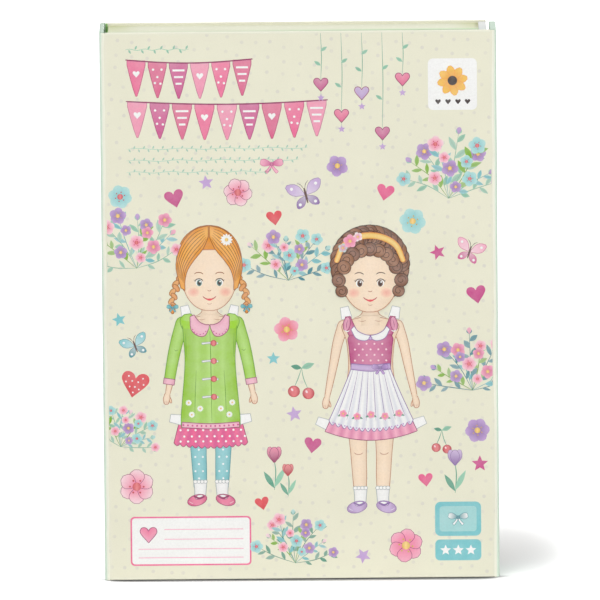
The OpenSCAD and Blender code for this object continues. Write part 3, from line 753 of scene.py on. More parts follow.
class Print:
    # The motifs of one piece of print, painted in order: each shape lies a step above all that it
    # covers. right is a direction on the face, out its normal, limits (x0, x1, z0, z1) where it ends
    cell, shortest, corner, sunk = 0.8, 0.02, 0.9, 0.003  # millimetres, and radians for a corner

    def __init__(self, name, origin, right=(1, 0, 0), out=(0, -1, 0), step=0.006, limits=None):
        self.name, self.step, self.limits = name, step * mm, limits
        self.origin = Vector(origin) * mm
        self.right, self.out = Vector(right), Vector(out)
        self.levels = {}
        self.bm = bmesh.new()
        self.bm.verts.layers.float_color.new("ink")

    def inside(self, point):
        if not self.limits:
            return Vector(point)
        x0, x1, z0, z1 = self.limits
        return Vector((min(max(point[0], x0), x1), min(max(point[1], z0), z1)))

    def covered(self, grid):  # the cells of the face that a shape's grid of points lies on
        cells = set()
        reach = self.cell * 0.7
        for row, above in zip(grid, grid[1:]):
            for a, b, c, d in zip(row, row[1:], above, above[1:]):
                across = int(max((b - a).length, (d - c).length) / reach) + 1
                up = int(max((c - a).length, (d - b).length) / reach) + 1
                for i in range(across + 1):
                    low, high = a.lerp(b, i / across), c.lerp(d, i / across)
                    for j in range(up + 1):
                        point = low.lerp(high, j / up)
                        cells.add((round(point.x / self.cell), round(point.y / self.cell)))
        return cells

    def stamp(self, rows, columns, place, colour):
        grid = [[self.inside(place(u / columns, v / rows)) for u in range(columns + 1)]
                for v in range(rows + 1)]
        cells = self.covered(grid)
        level = 1 + max(self.levels.get(cell, 0) for cell in cells)
        self.levels.update(dict.fromkeys(cells, level))
        start = len(self.bm.verts)
        self.bm.from_mesh(brush(rows, columns))
        ink = self.bm.verts.layers.float_color["ink"]
        for vert in self.bm.verts[start:]:
            u, v = (vert.co.x + 1) / 2, (vert.co.y + 1) / 2
            rise = level * self.step if vert.co.z > 0.5 else -self.sunk * mm
            across, up = grid[round(v * rows)][round(u * columns)]
            vert[ink] = colour(u, v) if callable(colour) else tint(colour)
            vert.co = self.origin + (self.right * across + Vector((0, 0, up))) * mm + self.out * rise

    def loft(self, left, right, colour, columns=2, edge=None, width=0.3):
        def place(u, v):
            row = round(v * (len(left) - 1))
            return left[row].lerp(right[row], u)
        self.stamp(len(left) - 1, columns, place, colour)
        if edge:
            self.outline(left + right[::-1] + left[:1], width, edge)

    def outline(self, points, width, colour):  # a pen line, lifted at the sharp corners
        run = [points[0]]
        for before, here, after in zip(points, points[1:], points[2:] + [points[1]]):
            if (here - before).length < self.shortest:
                continue
            run.append(here)
            ahead = after - here
            if ahead.length > self.shortest and (here - before).angle(ahead) > self.corner:
                self.line(run, width, colour, 1, 0.8)
                run = [here]
        if len(run) > 1:
            self.line(run, width, colour, 1, 0.8)

    def limb(self, path, colour, columns=3, steps=4, caps=(True, True), edge=None, width=0.3):
        # A band along a path of (x, z, width), with round ends where caps says so
        path = curved(path, steps)
        left, right = [], []
        for i, point in enumerate(path):
            way = (path[min(i + 1, len(path) - 1)] - path[max(i - 1, 0)]).to_2d()
            if way.length < 1e-6:
                continue
            way.normalize()
            across = Vector((-way.y, way.x)) * point.z / 2
            rows = [(0.0, 1.0)]
            if caps[0] and i == 0:
                rows = [(-math.sqrt(1 - k * k), k) for k in (0.2, 0.6, 0.88)] + rows
            if caps[1] and i == len(path) - 1:
                rows = rows + [(math.sqrt(1 - k * k), k) for k in (0.88, 0.6, 0.2)]
            for ahead, share in rows:
                middle = point.to_2d() + way * ahead * point.z / 2
                left.append(middle + across * share)
                right.append(middle - across * share)
        self.loft(left, right, colour, columns, edge, width)

    def line(self, path, width, colour, steps=4, taper=0.4):
        path = [Vector((p[0], p[1])) for p in path]
        last = len(path) - 1
        self.limb([(p.x, p.y, width * (taper if i in (0, last) else 1)) for i, p in enumerate(path)],
                  colour, 1, steps, (False, False))

    def disc(self, x, z, rx, rz, colour, turn=0.0, rows=8, columns=2, edge=None, width=0.25):
        here = spot(x, z, 1, turn)
        angles = [math.radians(-86 + 172 * i / rows) for i in range(rows + 1)]
        left = [here(-rx * math.cos(a), rz * math.sin(a)) for a in angles]
        right = [here(rx * math.cos(a), rz * math.sin(a)) for a in angles]
        self.loft(left, right, colour, columns)
        if edge:
            rim = [here(*p) for p in arc(0, 0, rx, rz, 0, 360, 2 * rows + 1)]
            self.line(rim, width, edge, 1, 1.0)

    def dot(self, x, z, r, colour="snow"):
        self.disc(x, z, r, r, colour, 0, 4, 1)

    def rule(self, x0, x1, z, width, colour):  # a straight level line
        self.line(((x0, z), (x1, z)), width, colour, 1, 1)

    def glow(self, x, z, r, colour, ground):  # a soft round patch
        def fade(u, v):
            off = math.hypot(math.cos(math.pi * (v - 0.5)) * (2 * u - 1), math.sin(math.pi * (v - 0.5)))
            return mixed(colour, ground, min(1.0, off) ** 1.5)
        self.disc(x, z, r, r * 0.8, fade, 0, 10, 6)

    def profile(self, x, z, turn, length, width, shares, colour, columns=2, edge=None):
        # A petal or leaf that grows from its place; shares are its widths from base to tip
        here = spot(x, z, 1, turn - 90)
        last = len(shares) - 1
        left = [here(-width / 2 * s, length * i / last) for i, s in enumerate(shares)]
        right = [here(width / 2 * s, length * i / last) for i, s in enumerate(shares)]
        self.loft(left, right, colour, columns, edge, 0.2)

    def petal(self, x, z, turn, length, width, inner, outer, edge=None):
        self.profile(x, z, turn, length, width, petalShares, along(inner, outer), 2, edge)

    def leaf(self, x, z, turn, length, width, colour):
        vein = scaled(colour, 0.78)
        self.profile(x, z, turn, length, width, leafShares,
                     lambda u, v: mixed(colour, vein, 0.9 if 0.4 < u < 0.6 else 0.15 * v))

    def heart(self, x, z, size, colour, turn=0.0, edge=None):
        outline = [tuple(p) for p in curved(heartHalf, 3)]
        last = len(outline) - 1
        here = spot(x, z, size, turn)
        middle = [here(0, -0.95 + 1.37 * (i / last) ** 0.9) for i in range(last + 1)]
        for side in (-1, 1):
            rim = [here(side * a, b) for a, b in outline]
            self.loft(*((middle, rim) if side > 0 else (rim, middle)), colour)
            if edge:
                self.line(rim, 0.3, edge, 1, 1.0)

    def star(self, x, z, size, colour, turn=0.0, points=5, waist=0.45):
        here = spot(x, z, size, turn)
        for k in range(points):
            angle, half = math.radians(90 + 360 * k / points), math.pi / points
            tip, low, high = (here(math.cos(t) * r, math.sin(t) * r)
                              for t, r in ((angle, 1), (angle - half, waist), (angle + half, waist)))
            self.loft([here(0, 0), high, tip], [here(0, 0), low, tip], colour, 1)

    def panel(self, x0, z0, x1, z1, corner, colour):
        turns = [math.radians(90 * i / 5) for i in range(6)]
        lower = [(corner * (1 - math.sin(t)), corner * (1 - math.cos(t))) for t in turns]
        rows = [(z0 + rise, inset) for inset, rise in lower]
        rows += [(z1 - rise, inset) for inset, rise in lower[::-1]]
        left, right = [Vector((x0 + a, z)) for z, a in rows], [Vector((x1 - a, z)) for z, a in rows]
        self.loft(left, right, colour, 2)

    def flower(self, x, z, r, petals, inner, outer, heart, turn=0.0, wide=0.86, edge=None):
        for k in range(petals):
            self.petal(x, z, turn + 360 * k / petals, r, r * wide, inner, outer, edge)
        self.disc(x, z, r * 0.25, r * 0.25, rounded(heart), 0, 6)
        if r > 2.4:
            here = spot(x, z, r * 0.4, turn)
            for k in range(petals):
                a = 2 * math.pi * (k + 0.5) / petals
                self.dot(*here(math.cos(a), math.sin(a)), r * 0.06, scaled(heart, 0.7))

    def finish(self, body="cover_body", slot="cover_print"):
        addPiece(self.name, self.bm, body, slot, "ink")


petalShares = (0.16, 0.42, 0.76, 0.97, 1.0, 0.8, 0.3)
leafShares = (0.06, 0.55, 0.9, 1.0, 0.86, 0.5, 0.05)
wingShares = (0.15, 0.5, 0.85, 1.0, 0.98, 0.72, 0.25)
loopShares = (0.2, 0.5, 0.8, 1.0, 0.98, 0.6)
heartHalf = ((0, -0.95), (0.3, -0.6), (0.72, -0.12), (0.96, 0.32), (0.84, 0.72), (0.5, 0.84),
             (0.17, 0.7), (0, 0.42))


def twig(art, x, z, turn, length, leafInk, rng, tip):
    # A bowed stem with leaves in turn on both sides, and something at its end
    here = spot(x, z, length, turn - 90)
    bow = rng.uniform(-0.14, 0.14)
    stem = [here(0, 0), here(bow * 0.7, 0.5), here(bow * 0.4, 1.0)]
    art.line(stem, 0.32, scaled(leafInk, 0.72))
    path = curved(stem, 4)
    for k, share in enumerate((0.28, 0.46, 0.62, 0.78, 0.9)):
        side = 1 if k % 2 else -1
        art.leaf(*path[round(share * (len(path) - 1))], turn + side * rng.uniform(34, 56),
                 length * rng.uniform(0.17, 0.25), length * rng.uniform(0.07, 0.10),
                 mixed(leafInk, "snow", rng.uniform(0, 0.3)))
    tip(*path[-1])


def spray(art, x, z, turn, size, mood, leafInk, seed, stems=9, spread=140):
    # A loose bunch: twigs that fan out, small blossoms at most of their ends, buds at the others
    rng, inks = random.Random(seed), moods[mood]
    order = list(range(stems))
    rng.shuffle(order)
    for k in order:
        angle = turn + spread * (k / (stems - 1) - 0.5) + rng.uniform(-6, 6)
        reach = size * rng.uniform(0.7, 1.0) * (1 - 0.18 * abs(k / (stems - 1) - 0.5))
        inner, outer, eye = petalInks[inks[rng.randrange(len(inks))]]
        r = size * rng.uniform(0.10, 0.14)

        def blossom(bx, bz, inner=inner, outer=outer, eye=eye, r=r, start=rng.uniform(0, 72)):
            art.flower(bx, bz, r, 5, inner, outer, eye, start, 0.92)

        def bud(bx, bz, outer=outer, angle=angle):
            for lean in (26, -26):
                art.petal(bx, bz, angle + lean, size * 0.08, size * 0.05, leafInk, leafInk)
            art.petal(bx, bz, angle, size * 0.11, size * 0.075, scaled(outer, 0.8), outer)
        twigInk = (leafInk, "teal", leafInk, mixed("limeDark", "lime", 0.5))[k % 4]
        twig(art, x, z, angle, reach, twigInk, rng, bud if k % 3 == 1 else blossom)
    here = spot(x, z, size, turn - 90)
    for k, (a, b, r) in enumerate(((0, 0.44, 0.13), (-0.25, 0.3, 0.11), (0.27, 0.32, 0.12),
                                   (0.1, 0.2, 0.09), (-0.12, 0.62, 0.09), (0.2, 0.6, 0.1))):
        place = here(a + rng.uniform(-0.03, 0.03), b + rng.uniform(-0.03, 0.03))
        art.flower(*place, size * r, 5, *petalInks[inks[k % len(inks)]], rng.uniform(0, 72), 0.92)


def butterfly(art, x, z, size, turn, wing, wingDark):
    here = spot(x, z, size, turn)
    for side in (-1, 1):
        for (a, b), (la, lb), w, colour in (((0.08, 0.05), (0.95, 0.72), 0.62, wing),
                                            ((0.06, -0.05), (0.6, -0.62), 0.44, wingDark)):
            start, end = here(side * a, b), here(side * la, lb)
            way = end - start
            art.profile(*start, math.degrees(math.atan2(way.y, way.x)), way.length, size * w,
                        wingShares, along(mixed(colour, "snow", 0.5), colour), 2, wingDark)
            art.dot(*here(side * (la * 0.72), lb * 0.72), size * 0.09)
        art.line([here(0, 0.3), here(side * 0.14, 0.62), here(side * 0.32, 0.78)], 0.25, "ink")
    art.limb([(*here(0, b), size * w) for b, w in ((-0.42, 0.06), (0, 0.13), (0.36, 0.09))], "ink")


def bow(art, x, z, size, colour, dark, turn=0.0):
    here = spot(x, z, size, turn)
    for side in (-1, 1):
        tail = ((0, 0, 0.14), (0.2, -0.4, 0.2), (0.5, -0.75, 0.26))
        path = [(*here(side * a, b), size * w) for a, b, w in tail]
        art.limb(path, colour, 1, 4, (False, False), dark, 0.2)
    for side in (-1, 1):
        lean = turn + 90 - side * 78
        art.profile(x, z, lean, size, size * 0.62, loopShares, along(dark, colour), 2, dark)
    art.disc(x, z, size * 0.17, size * 0.2, rounded(dark), turn, 6)


def cherries(art, x, z, size):
    here = spot(x, z, size)
    for a, b in ((-0.38, -0.6), (0.42, -0.72)):
        art.line([here(0.05, 0.7), here(a * 0.4, 0.1), here(a, b + 0.2)], 0.35, "leafDark")
        art.disc(*here(a, b), size * 0.32, size * 0.31, rounded("coral", 0.3), 0, 8, 3, "coralDark")
        art.disc(*here(a - 0.1, b + 0.1), size * 0.06, size * 0.09, "pinkPale", 30, 4, 1)
    art.leaf(*here(0.05, 0.7), 20, size * 0.75, size * 0.34, "leaf")
    art.leaf(*here(0.05, 0.7), 168, size * 0.6, size * 0.28, "leafDark")


def tulip(art, x, z, height, colour, dark):
    art.line([(x, z), (x + height * 0.03, z + height * 0.4), (x, z + height * 0.66)], 0.5, "leafDark")
    art.profile(x, z + height * 0.06, 62, height * 0.5, height * 0.12, leafShares, "leaf")
    art.profile(x, z + height * 0.04, 122, height * 0.44, height * 0.12, leafShares, "leafDark")
    top, pale = z + height * 0.62, mixed(colour, "snow", 0.25)
    for turn, length, width in ((108, 0.36, 0.17), (72, 0.36, 0.17), (90, 0.34, 0.2)):
        art.petal(x, top, turn, height * length, height * width, dark, pale, dark)


def daisy(art, x, z, r, colour, eye, turn=0.0):
    for k in range(12):
        art.petal(x, z, turn + 30 * k, r, r * 0.36, scaled(colour, 0.9), colour)
    art.disc(x, z, r * 0.3, r * 0.3, rounded(eye), 0, 6)


# The paper dolls' drawing, the same for the cover, the cards and the outfits

class Doll:
    # Places and sizes are in thousandths of the doll's height, and side mirrors them; pen widths are in
    # millimetres
    def __init__(self, art, x, z, height, look):
        self.art, self.x, self.z, self.unit, self.look = art, x, z, height / 1000, look

    def at(self, a, b, side=1):
        return Vector((self.x + side * a * self.unit, self.z + b * self.unit))

    def path(self, points, side=1):
        return [(*self.at(*p[:2], side), *(w * self.unit for w in p[2:])) for p in points]

    def limb(self, points, colour, side=1, edge=None, columns=4, caps=(True, True)):
        self.art.limb(self.path(points, side), colour, columns, 4, caps, edge)

    def band(self, points, colour, side=1, edge=None, columns=4):  # a limb with flat ends
        self.limb(points, colour, side, edge, columns, (False, False))

    def line(self, points, width, colour, side=1):
        self.art.line(self.path(points, side), width, colour)

    def shape(self, rows, colour, edge=None, columns=6):  # (height, half width) rows
        left, right = ([self.at(row.y, row.x, side) for row in curved(rows, 3)] for side in (-1, 1))
        self.art.loft(left, right, colour, columns, edge)

    def half(self, inner, outer, colour, side=1, edge=None, columns=3, strands=0):
        # One side's shape between an inner and an outer line, with strokes that follow both
        first, second = ([self.at(*p, side) for p in curved(points, 3)] for points in (inner, outer))
        if side < 0:
            first, second = second, first
        self.art.loft(first, second, colour, columns, edge)
        for k in range(strands):
            share = (k + 1) / (strands + 1)
            self.art.line([a.lerp(b, share) for a, b in zip(first, second)][1:-1:2], 0.26, edge)

    def disc(self, a, b, ra, rb, colour, side=1, turn=0.0, edge=None, rows=8, columns=3):
        place, unit = self.at(a, b, side), self.unit
        self.art.disc(*place, ra * unit, rb * unit, colour, side * turn, rows, columns, edge)

    def dot(self, a, b, r, colour, side=1):
        self.disc(a, b, r, r, colour, side, 0, None, 4, 1)

    def frill(self, first, step, count, b, ra, rb, side=1):  # a row of small white scallops
        for k in range(count):
            self.disc(first + step * k, b, ra, rb, "snow", side, 0, "paperLine", 6, 2)

    def flower(self, place, r, outer, turn):
        self.art.flower(*place, r * self.unit, 5, "pink", outer, "yellow", turn, 0.9)

    def ribbon(self, a, b, size, colour, dark, side=1):
        bow(self.art, *self.at(a, b, side), size * self.unit, colour, dark)

    def cloth(self, top, waist, hem, half, drop, colour, edge, scallops=0, depth=0.0, bend=1.1):
        # A skirt that hangs from its waist to a curved hem, which may be scalloped
        def place(u, v):
            s = 2 * u - 1
            low = hem - drop * (1 - s * s) - depth * abs(math.sin(math.pi * scallops * u))
            return self.at(s * (waist + (half - waist) * v ** bend), top + (low - top) * v)
        columns = max(18, scallops * 4)
        self.art.stamp(10, columns, place, colour)
        for u in (0, 1):
            self.art.line([place(u, v / 8) for v in range(9)], 0.3, edge, 1, 1.0)
        self.art.line([place(u / columns, 1) for u in range(columns + 1)], 0.3, edge, 1, 1.0)
        return place

    def skin(self):
        skin, line = rounded("skin", 0.13, 0.1), "skinLine"
        for side in (-1, 1):
            self.limb(legPath, skin, side, line)
            self.limb(((138.5, 414, 7.5), (132.5, 402, 6.5), (130.5, 394, 5)), "skin", side, line, 1)
            self.limb(((142.5, 418, 18), (144.5, 406, 21.5), (145.5, 396, 19)), skin, side, line, 3)
            for a in (140.5, 145.5, 150.5):
                self.line(((a - 0.8, 400), (a, 393.5), (a, 388.5)), 0.16, line, side)
            self.limb(armPath, skin, side, line, 4, (True, False))
            self.band(((139, 431, 15.5), (141.5, 418, 14.5)), skin, side, None, 3)
        self.shape(torsoRows, skin, line)
        self.band(((0, 655, 58), (0, 686, 62), (0, 690, 54), (0, 725, 50)), skin)
        for side in (-1, 1):
            self.line(((24.5, 712), (26, 697), (36, 686.5), (52, 680.5)), 0.3, line, side)
            self.line(((14, 672), (26, 669), (38, 671)), 0.22, line, side)
            self.line(arc(41, 246, 15, 10, 200, 340), 0.28, line, side)
        self.line(arc(0, 706, 24, 6, 200, 340), 0.26, line)

    def face(self):
        skin, line, look = "skin", "skinLine", self.look
        for side in (-1, 1):
            self.disc(86, 790, 12, 18, rounded(skin, 0.12, 0.0), side, -10, line, 6, 2)
        self.shape(faceRows, rounded(skin, 0.08, 0.1), line, 8)
        for side in (-1, 1):
            blush, around = mixed("cheek", skin, 0.25), mixed(skin, "snow", 0.05)
            self.art.glow(*self.at(53, 762, side), 23 * self.unit, blush, around)
            self.disc(34, 793, 11.2, 11.8, "snow", side, 0, None, 8, 2)
            self.disc(33, 792.5, 8.2, 10.8, look["eyes"], side, 0, None, 8, 2)
            self.disc(33, 792.2, 4.6, 6.4, "darkDeep", side, 0, None, 6, 2)
            self.disc(33 * side + 2.8, 797, 2.6, 3, "snow", 1, 0, None, 4, 1)
            self.line(arc(34, 793, 14.5, 13.5, 160, 15), 0.4, "darkDeep", side)
            self.line(((46.5, 799), (51.5, 803.5)), 0.26, "darkDeep", side)
            self.line(arc(35, 817, 16.5, 10.5, 155, 30), 0.36, look["dark"], side)
        self.line(arc(0, 770, 6.8, 4.5, 195, 345, 5), 0.32, line)
        self.line(arc(0, 753.5, 23.5, 15.5, 200, 340), 0.42, "coralDark")
        self.limb(bothWays((0, 736.5, 7.5), (11, 738.5, 3)), "coral", 1, None, 2)
        self.line(arc(0, 725.5, 8, 4, 200, 340, 5), 0.22, line)

    def curl(self, a, b, r, rng):
        hair = mixed(self.look["hair"], self.look["light"], rng.uniform(0, 0.6))
        dark = self.look["dark"]
        self.disc(a, b, r, r, rounded(hair, 0.3, 0.08), 1, rng.uniform(0, 90), dark, 8, 4)
        start, way = rng.uniform(0, 360), rng.choice((-1, 1))
        here = spot(a, b, r)
        spiral = [(0.74 - 0.062 * k, math.radians(start + way * 46 * k)) for k in range(10)]
        self.line([here(reach * math.cos(t), reach * math.sin(t)) for reach, t in spiral], 0.26, dark)

    def curlsBack(self):
        rng = random.Random(4)
        self.shape(((737, 50), (752, 82), (775, 104), (810, 120), (850, 126), (890, 121), (925, 106),
                    (955, 80), (974, 44), (981, 10)), self.look["hair"], self.look["dark"])
        for a, b in arc(0, 857, 103, 100, -40, 220, 21):
            self.curl(a, b, 25.5, rng)
        for a, b in arc(0, 878, 62, 62, 20, 160, 11):
            self.curl(a, b, 24, rng)

    def curlsFront(self):
        rng = random.Random(9)
        for side in (-1, 1):
            self.curl(side * 91, 768, 19.5, rng)
            self.curl(side * 100, 803, 22, rng)
        for a, b in arc(0, 830, 85, 73, 12, 168, 9):
            self.curl(a, b, 22.5, rng)

    def headband(self, colour, dark):
        path = bothWays((0, 948, 18), (45, 940, 18), (85, 914, 17), (106, 868, 14))
        self.limb(path, rounded(colour), 1, dark, 3)
        for a, b, r, outer, turn in ((-86, 908, 15, "tealPale", 10), (-38, 944, 15, "snow", 40),
                                     (-63, 930, 22, "pinkSoft", 20)):
            self.flower(self.at(a, b), r, outer, turn)

    def smoothBack(self):
        self.shape(((742, 58), (770, 86), (820, 104), (870, 108), (920, 96), (955, 72), (978, 36),
                    (984, 8)), self.look["hair"], self.look["dark"])

    def smoothFront(self):
        hair, light = self.look["hair"], self.look["light"]

        def shine(u, v):
            return mixed(hair, light, 0.6 * math.sin(math.pi * u) * (1 - 0.4 * v))
        inner = ((2, 945), (20, 905), (48, 870), (71, 835), (80, 800), (80, 768))
        outer = ((2, 983), (46, 971), (82, 936), (104, 885), (109, 838), (94, 776))
        for side in (-1, 1):
            self.half(inner, outer, shine, side, self.look["dark"], 6, 6)

    def plaits(self, ribbonInk, ribbonDark):
        hair, dark, light = self.look["hair"], self.look["dark"], self.look["light"]
        for side in (-1, 1):
            for k, (a, b) in enumerate(curved(((101, 802), (113, 776), (120.5, 748), (122, 718)), 2)):
                width = 15.5 - 0.5 * k
                lean, shift = (38, 4) if k % 2 else (-38, -4)
                strand = rounded(mixed(hair, light, 0.25 * (k % 2)), 0.25, 0.12)
                self.disc(a + shift, b, width * 0.62, width, strand, side, lean, dark, 6, 3)
            self.limb(((122, 714, 12), (123, 702, 19), (122, 694, 8)), hair, side, dark, 2)
            self.ribbon(122, 711, 19, ribbonInk, ribbonDark, side)

    def shoes(self, colour, dark):
        sock = rounded("snow", 0.12, 0.1)
        for side in (-1, 1):
            self.band(((36, 128, 43), (36, 100, 38), (37, 78, 36)), sock, side, "paperLine", 3)
            self.frill(19.5, 11, 4, 127, 6.8, 5.8, side)
            self.disc(47, 65, 33, 18.5, rounded(colour, 0.22), side, -16, dark)
            self.disc(40, 75.5, 14.5, 7.2, "snow", side, -10, dark, 6, 2)
            self.limb(((25, 77, 6), (40, 71.5, 6), (56, 78, 6)), dark, side, None, 1)
            self.line(arc(53, 63, 20, 9.5, 290, 350), 0.3, mixed(colour, "snow", 0.6), side)

    def leggings(self, colour, dark):
        path = (*((a, b, w * 1.03) for a, b, w in legPath[:-1]), (36, 108, 41))
        for side in (-1, 1):
            self.band(path, rounded(colour, 0.16, 0.14), side, dark)
            for k in range(8):
                for a in (27, 52) if k % 2 else (40,):
                    self.dot(a, 138 + 24 * k, 3.4, "snow", side)

    def underThings(self, trim, trimDark):
        snow, line = rounded("snow", 0.1, 0.0), "paperLine"
        for side in (-1, 1):
            self.band(((45, 400, 82), (45, 360, 82), (45, 335, 80)), snow, side, line)
            self.frill(12, 13.2, 6, 334, 7.5, 7.5, side)
            self.band(((46, 620, 11), (47, 660, 11), (45, 679, 10)), "snow", side, line, 1)
        self.shape(((365, 85), (390, 87), (420, 87), (450, 81), (470, 77)), snow)
        self.shape(((460, 77), (500, 73), (540, 72.5), (580, 75), (612, 72), (628, 58)), snow, line)
        self.frill(-70, 14, 11, 461, 7.8, 7.8)
        self.line(bothWays((0, 612), (55, 620)), 0.5, trim)
        self.ribbon(0, 600, 15, trim, trimDark)
        for a, b in ((-30, 560), (30, 560), (0, 530), (-40, 500), (40, 500), (0, 572), (-20, 500),
                     (20, 500)):
            self.dot(a, b, 3.2, trim)

    def tabs(self, places):  # white paper tabs with a thin grey outline
        for a, b, turn in places:
            for side in (-1, 1):
                here = spot(*self.at(a, b, side), self.unit, -side * turn)
                left, right = ([here(way * 17, -4), here(way * 13, 34)] for way in (-1, 1))
                self.art.loft(left, right, "snow", 1, "paperLine")

    def dress(self):
        rose, dark, snow, line = "rose", "roseDark", "snow", "lilacDark"
        self.cloth(515, 61, 312, 148, 30, pleated("pinkSoft", rose, 9, 0.6), dark)
        apron = self.cloth(522, 61, 348, 135, 26, pleated(snow, "snowShade", 11, 0.8), line, 14, 12)
        for k in range(8):
            self.art.line([apron(0.06 + 0.88 * k / 7, v) for v in (0.04, 0.35, 0.65, 0.86)], 0.24, line)
        for k in range(14):
            self.art.dot(*apron((k + 0.5) / 14, 0.955), 2.8 * self.unit, "lilac")
        for k in range(5):
            place = apron(0.5 + 0.19 * (k - 2), 0.78)
            for lean in (205, 335):
                self.art.leaf(*place, lean, 20 * self.unit, 8 * self.unit, "leafDark")
            self.flower(place, 12.5, "pinkSoft", 18 * k)
        for side in (-1, 1):
            self.half(((20, 620), (41, 637), (53, 660), (64, 686)),
                      ((60, 610), (73, 632), (77, 660), (80.5, 684)), rounded(rose, 0.2), side, dark, 2)
            self.disc(75.5, 661, 11.5, 23.5, rounded(mixed(rose, "pinkSoft", 0.5), 0.2), side, 10, dark)
            self.line(((67, 639.5), (75, 636.5), (83, 641)), 0.5, snow, side)
            self.line(((72.5, 674), (76, 660), (76, 647)), 0.24, dark, side)
        self.shape(((520, 63.5), (550, 66), (590, 69.5), (612, 72.5), (625, 66)),
                   rounded(rose, 0.22), dark)
        for b, count in ((542, 5), (560, 4), (578, 5), (596, 4)):
            for k in range(count):
                self.dot((k - (count - 1) / 2) * 25, b, 3.2, "pinkPale")
        for side in (-1, 1):
            self.half(((1, 623.5), (20, 627.5), (40, 638), (52, 654)),
                      ((1, 613), (20, 606), (47, 615), (62, 643)), rounded(snow, 0.1, 0), side, line, 3)
        self.disc(0, 614, 5.2, 5.2, rounded("lilac"), 1, 0, line, 6)
        self.band(bothWays((0, 517, 21), (63, 523, 19)), rounded("lilac"), 1, line, 3)
        self.ribbon(30, 518, 26, "lilac", line)

    def coat(self):
        lime, dark, trim, trimDark, snow = "lime", "limeDark", "pinkSoft", "roseDark", "snow"

        def ribbed(u, v):
            light = math.sin(math.pi * u) ** 0.7 * (0.75 + 0.25 * math.cos(8 * math.pi * u))
            return mixed(scaled(lime, 0.8), mixed(lime, snow, 0.2), light)
        for side in (-1, 1):
            self.limb(((90, 658, 44), (109.5, 595, 40), (124, 530, 37), (135.5, 462, 34)),
                      rounded(lime, 0.2), side, dark, 4, (True, False))
            self.line(((104, 570), (112, 566), (118, 571)), 0.26, dark, side)
            self.band(((134.2, 473, 36.5), (137.2, 454, 36.5)), rounded(trim), side, trimDark, 3)
            self.half(((19, 650), (40, 664), (52, 680), (64, 690)),
                      ((88, 635), (96.5, 655), (96.5, 673), (84, 687)),
                      rounded(lime, 0.1), side, dark, 3)
        self.shape(((308, 96.5), (340, 97.5), (400, 92.5), (460, 87), (520, 83), (560, 83), (610, 87),
                    (650, 90)), ribbed, dark, 12)
        for side in (-1, 1):
            self.half(((20, 640), (30, 645), (45, 660)), ((83, 640), (90, 652), (92, 668)),
                      lime, side, None, 2)
        self.band(bothWays((0, 312.5, 18), (95, 318, 18)), rounded(trim), 1, trimDark, 3)
        for a in range(-90, 91, 15):
            self.dot(a, 313.5 + a * a / 2000, 3.4, "rose")
        self.line(((4, 328), (3, 450), (2, 560), (0, 632)), 0.34, dark)
        for side in (-1, 1):
            self.line(((52, 340), (50, 420), (46, 500)), 0.28, dark, side)
            self.line(((80, 625), (79, 585), (78, 545)), 0.28, dark, side)
            for k, (a, b) in enumerate(((34, 372), (72, 392), (62, 352))):
                daisy(self.art, *self.at(a, b, side), 10.5 * self.unit, snow, "yellow", 9 * k)
        for side in (-1, 1):
            self.half(((1, 653), (14, 653.5), (30, 660), (42, 672), (51, 686)),
                      ((3, 640), (16, 616), (40, 616), (62, 638), (65, 680)),
                      rounded(trim, 0.1), side, trimDark, 4)
            for a, b in arc(33, 643, 24, 22.5, 215, 345, 6):
                self.dot(a, b, 2.2, "rose", side)
        for b in (590, 530, 470, 410):
            self.limb(bothWays((0, b + 2, 5), (24, b, 6)), snow, 1, "paperLine", 1)
            self.disc(12, b + 1, 9.5, 9.5, rounded("coral", 0.25), 1, 0, "coralDark", 6)

    def skirt(self):
        self.cloth(400, 85, 258, 122, 12, pleated("pink", "rose", 8, 0.7), "roseDark", 12, 8, 1.0)
        for row, b in enumerate((300, 279, 262)):
            for k in range(9):
                self.dot(-100 + 25 * k + 12.5 * (row % 2), b, 3.8, "snow")


def bothWays(*points):  # a path from the middle out to the right, with its mirror image before it
    return [(-p[0], *p[1:]) for p in points[:0:-1]] + list(points)


legPath = ((44, 415, 78), (43, 330, 64), (41, 240, 50), (38, 165, 45), (36, 85, 34))
armPath = ((87, 655, 36), (105, 600, 31), (119, 530, 26), (131, 470, 21), (140.5, 423, 15.5))
torsoRows = ((370, 83), (420, 87), (470, 77), (520, 71), (560, 72), (610, 78), (650, 92), (670, 78),
             (682, 30))
faceRows = ((700, 12), (705, 30), (718, 51), (742, 71), (770, 83), (800, 87), (830, 86), (860, 78),
            (888, 58), (903, 20))
looks = {
    "curly": {"hair": shade(126, 74, 44), "dark": shade(60, 34, 26), "light": shade(176, 118, 72),
              "eyes": shade(106, 70, 48)},
    "plaits": {"hair": shade(226, 146, 48), "dark": shade(150, 84, 30), "light": shade(250, 200, 108),
               "eyes": shade(84, 122, 112)},
}


def drawCurly(art, x, z, height, dressed):
    doll = Doll(art, x, z, height, looks["curly"])
    doll.curlsBack()
    doll.skin()
    doll.shoes("lilac", "lilacDark")
    if dressed:
        doll.tabs(((76, 683, 12), (142, 335, 68)))
        doll.dress()
    else:
        doll.underThings("pink", "roseDark")
    doll.face()
    doll.curlsFront()
    doll.headband("yellow", "orange")


def drawPlaits(art, x, z, height, dressed):
    doll = Doll(art, x, z, height, looks["plaits"])
    doll.smoothBack()
    doll.skin()
    if dressed:
        doll.leggings("teal", "tealDark")
    doll.shoes("pink", "roseDark")
    if dressed:
        doll.skirt()
        doll.tabs(((76, 683, 12), (100, 335, 80)))
        doll.coat()
    else:
        doll.underThings("teal", "tealDark")
    doll.plaits("teal", "tealDark")
    doll.face()
    doll.smoothFront()
    daisy(art, *doll.at(58, 936), 20 * doll.unit, "snow", "yellow")


card = {"height": 164.939, "z": 40.03, "x": (-52.35, 6.35), "face": -5.6, "panel": -6.0, "sheet": -3.6}


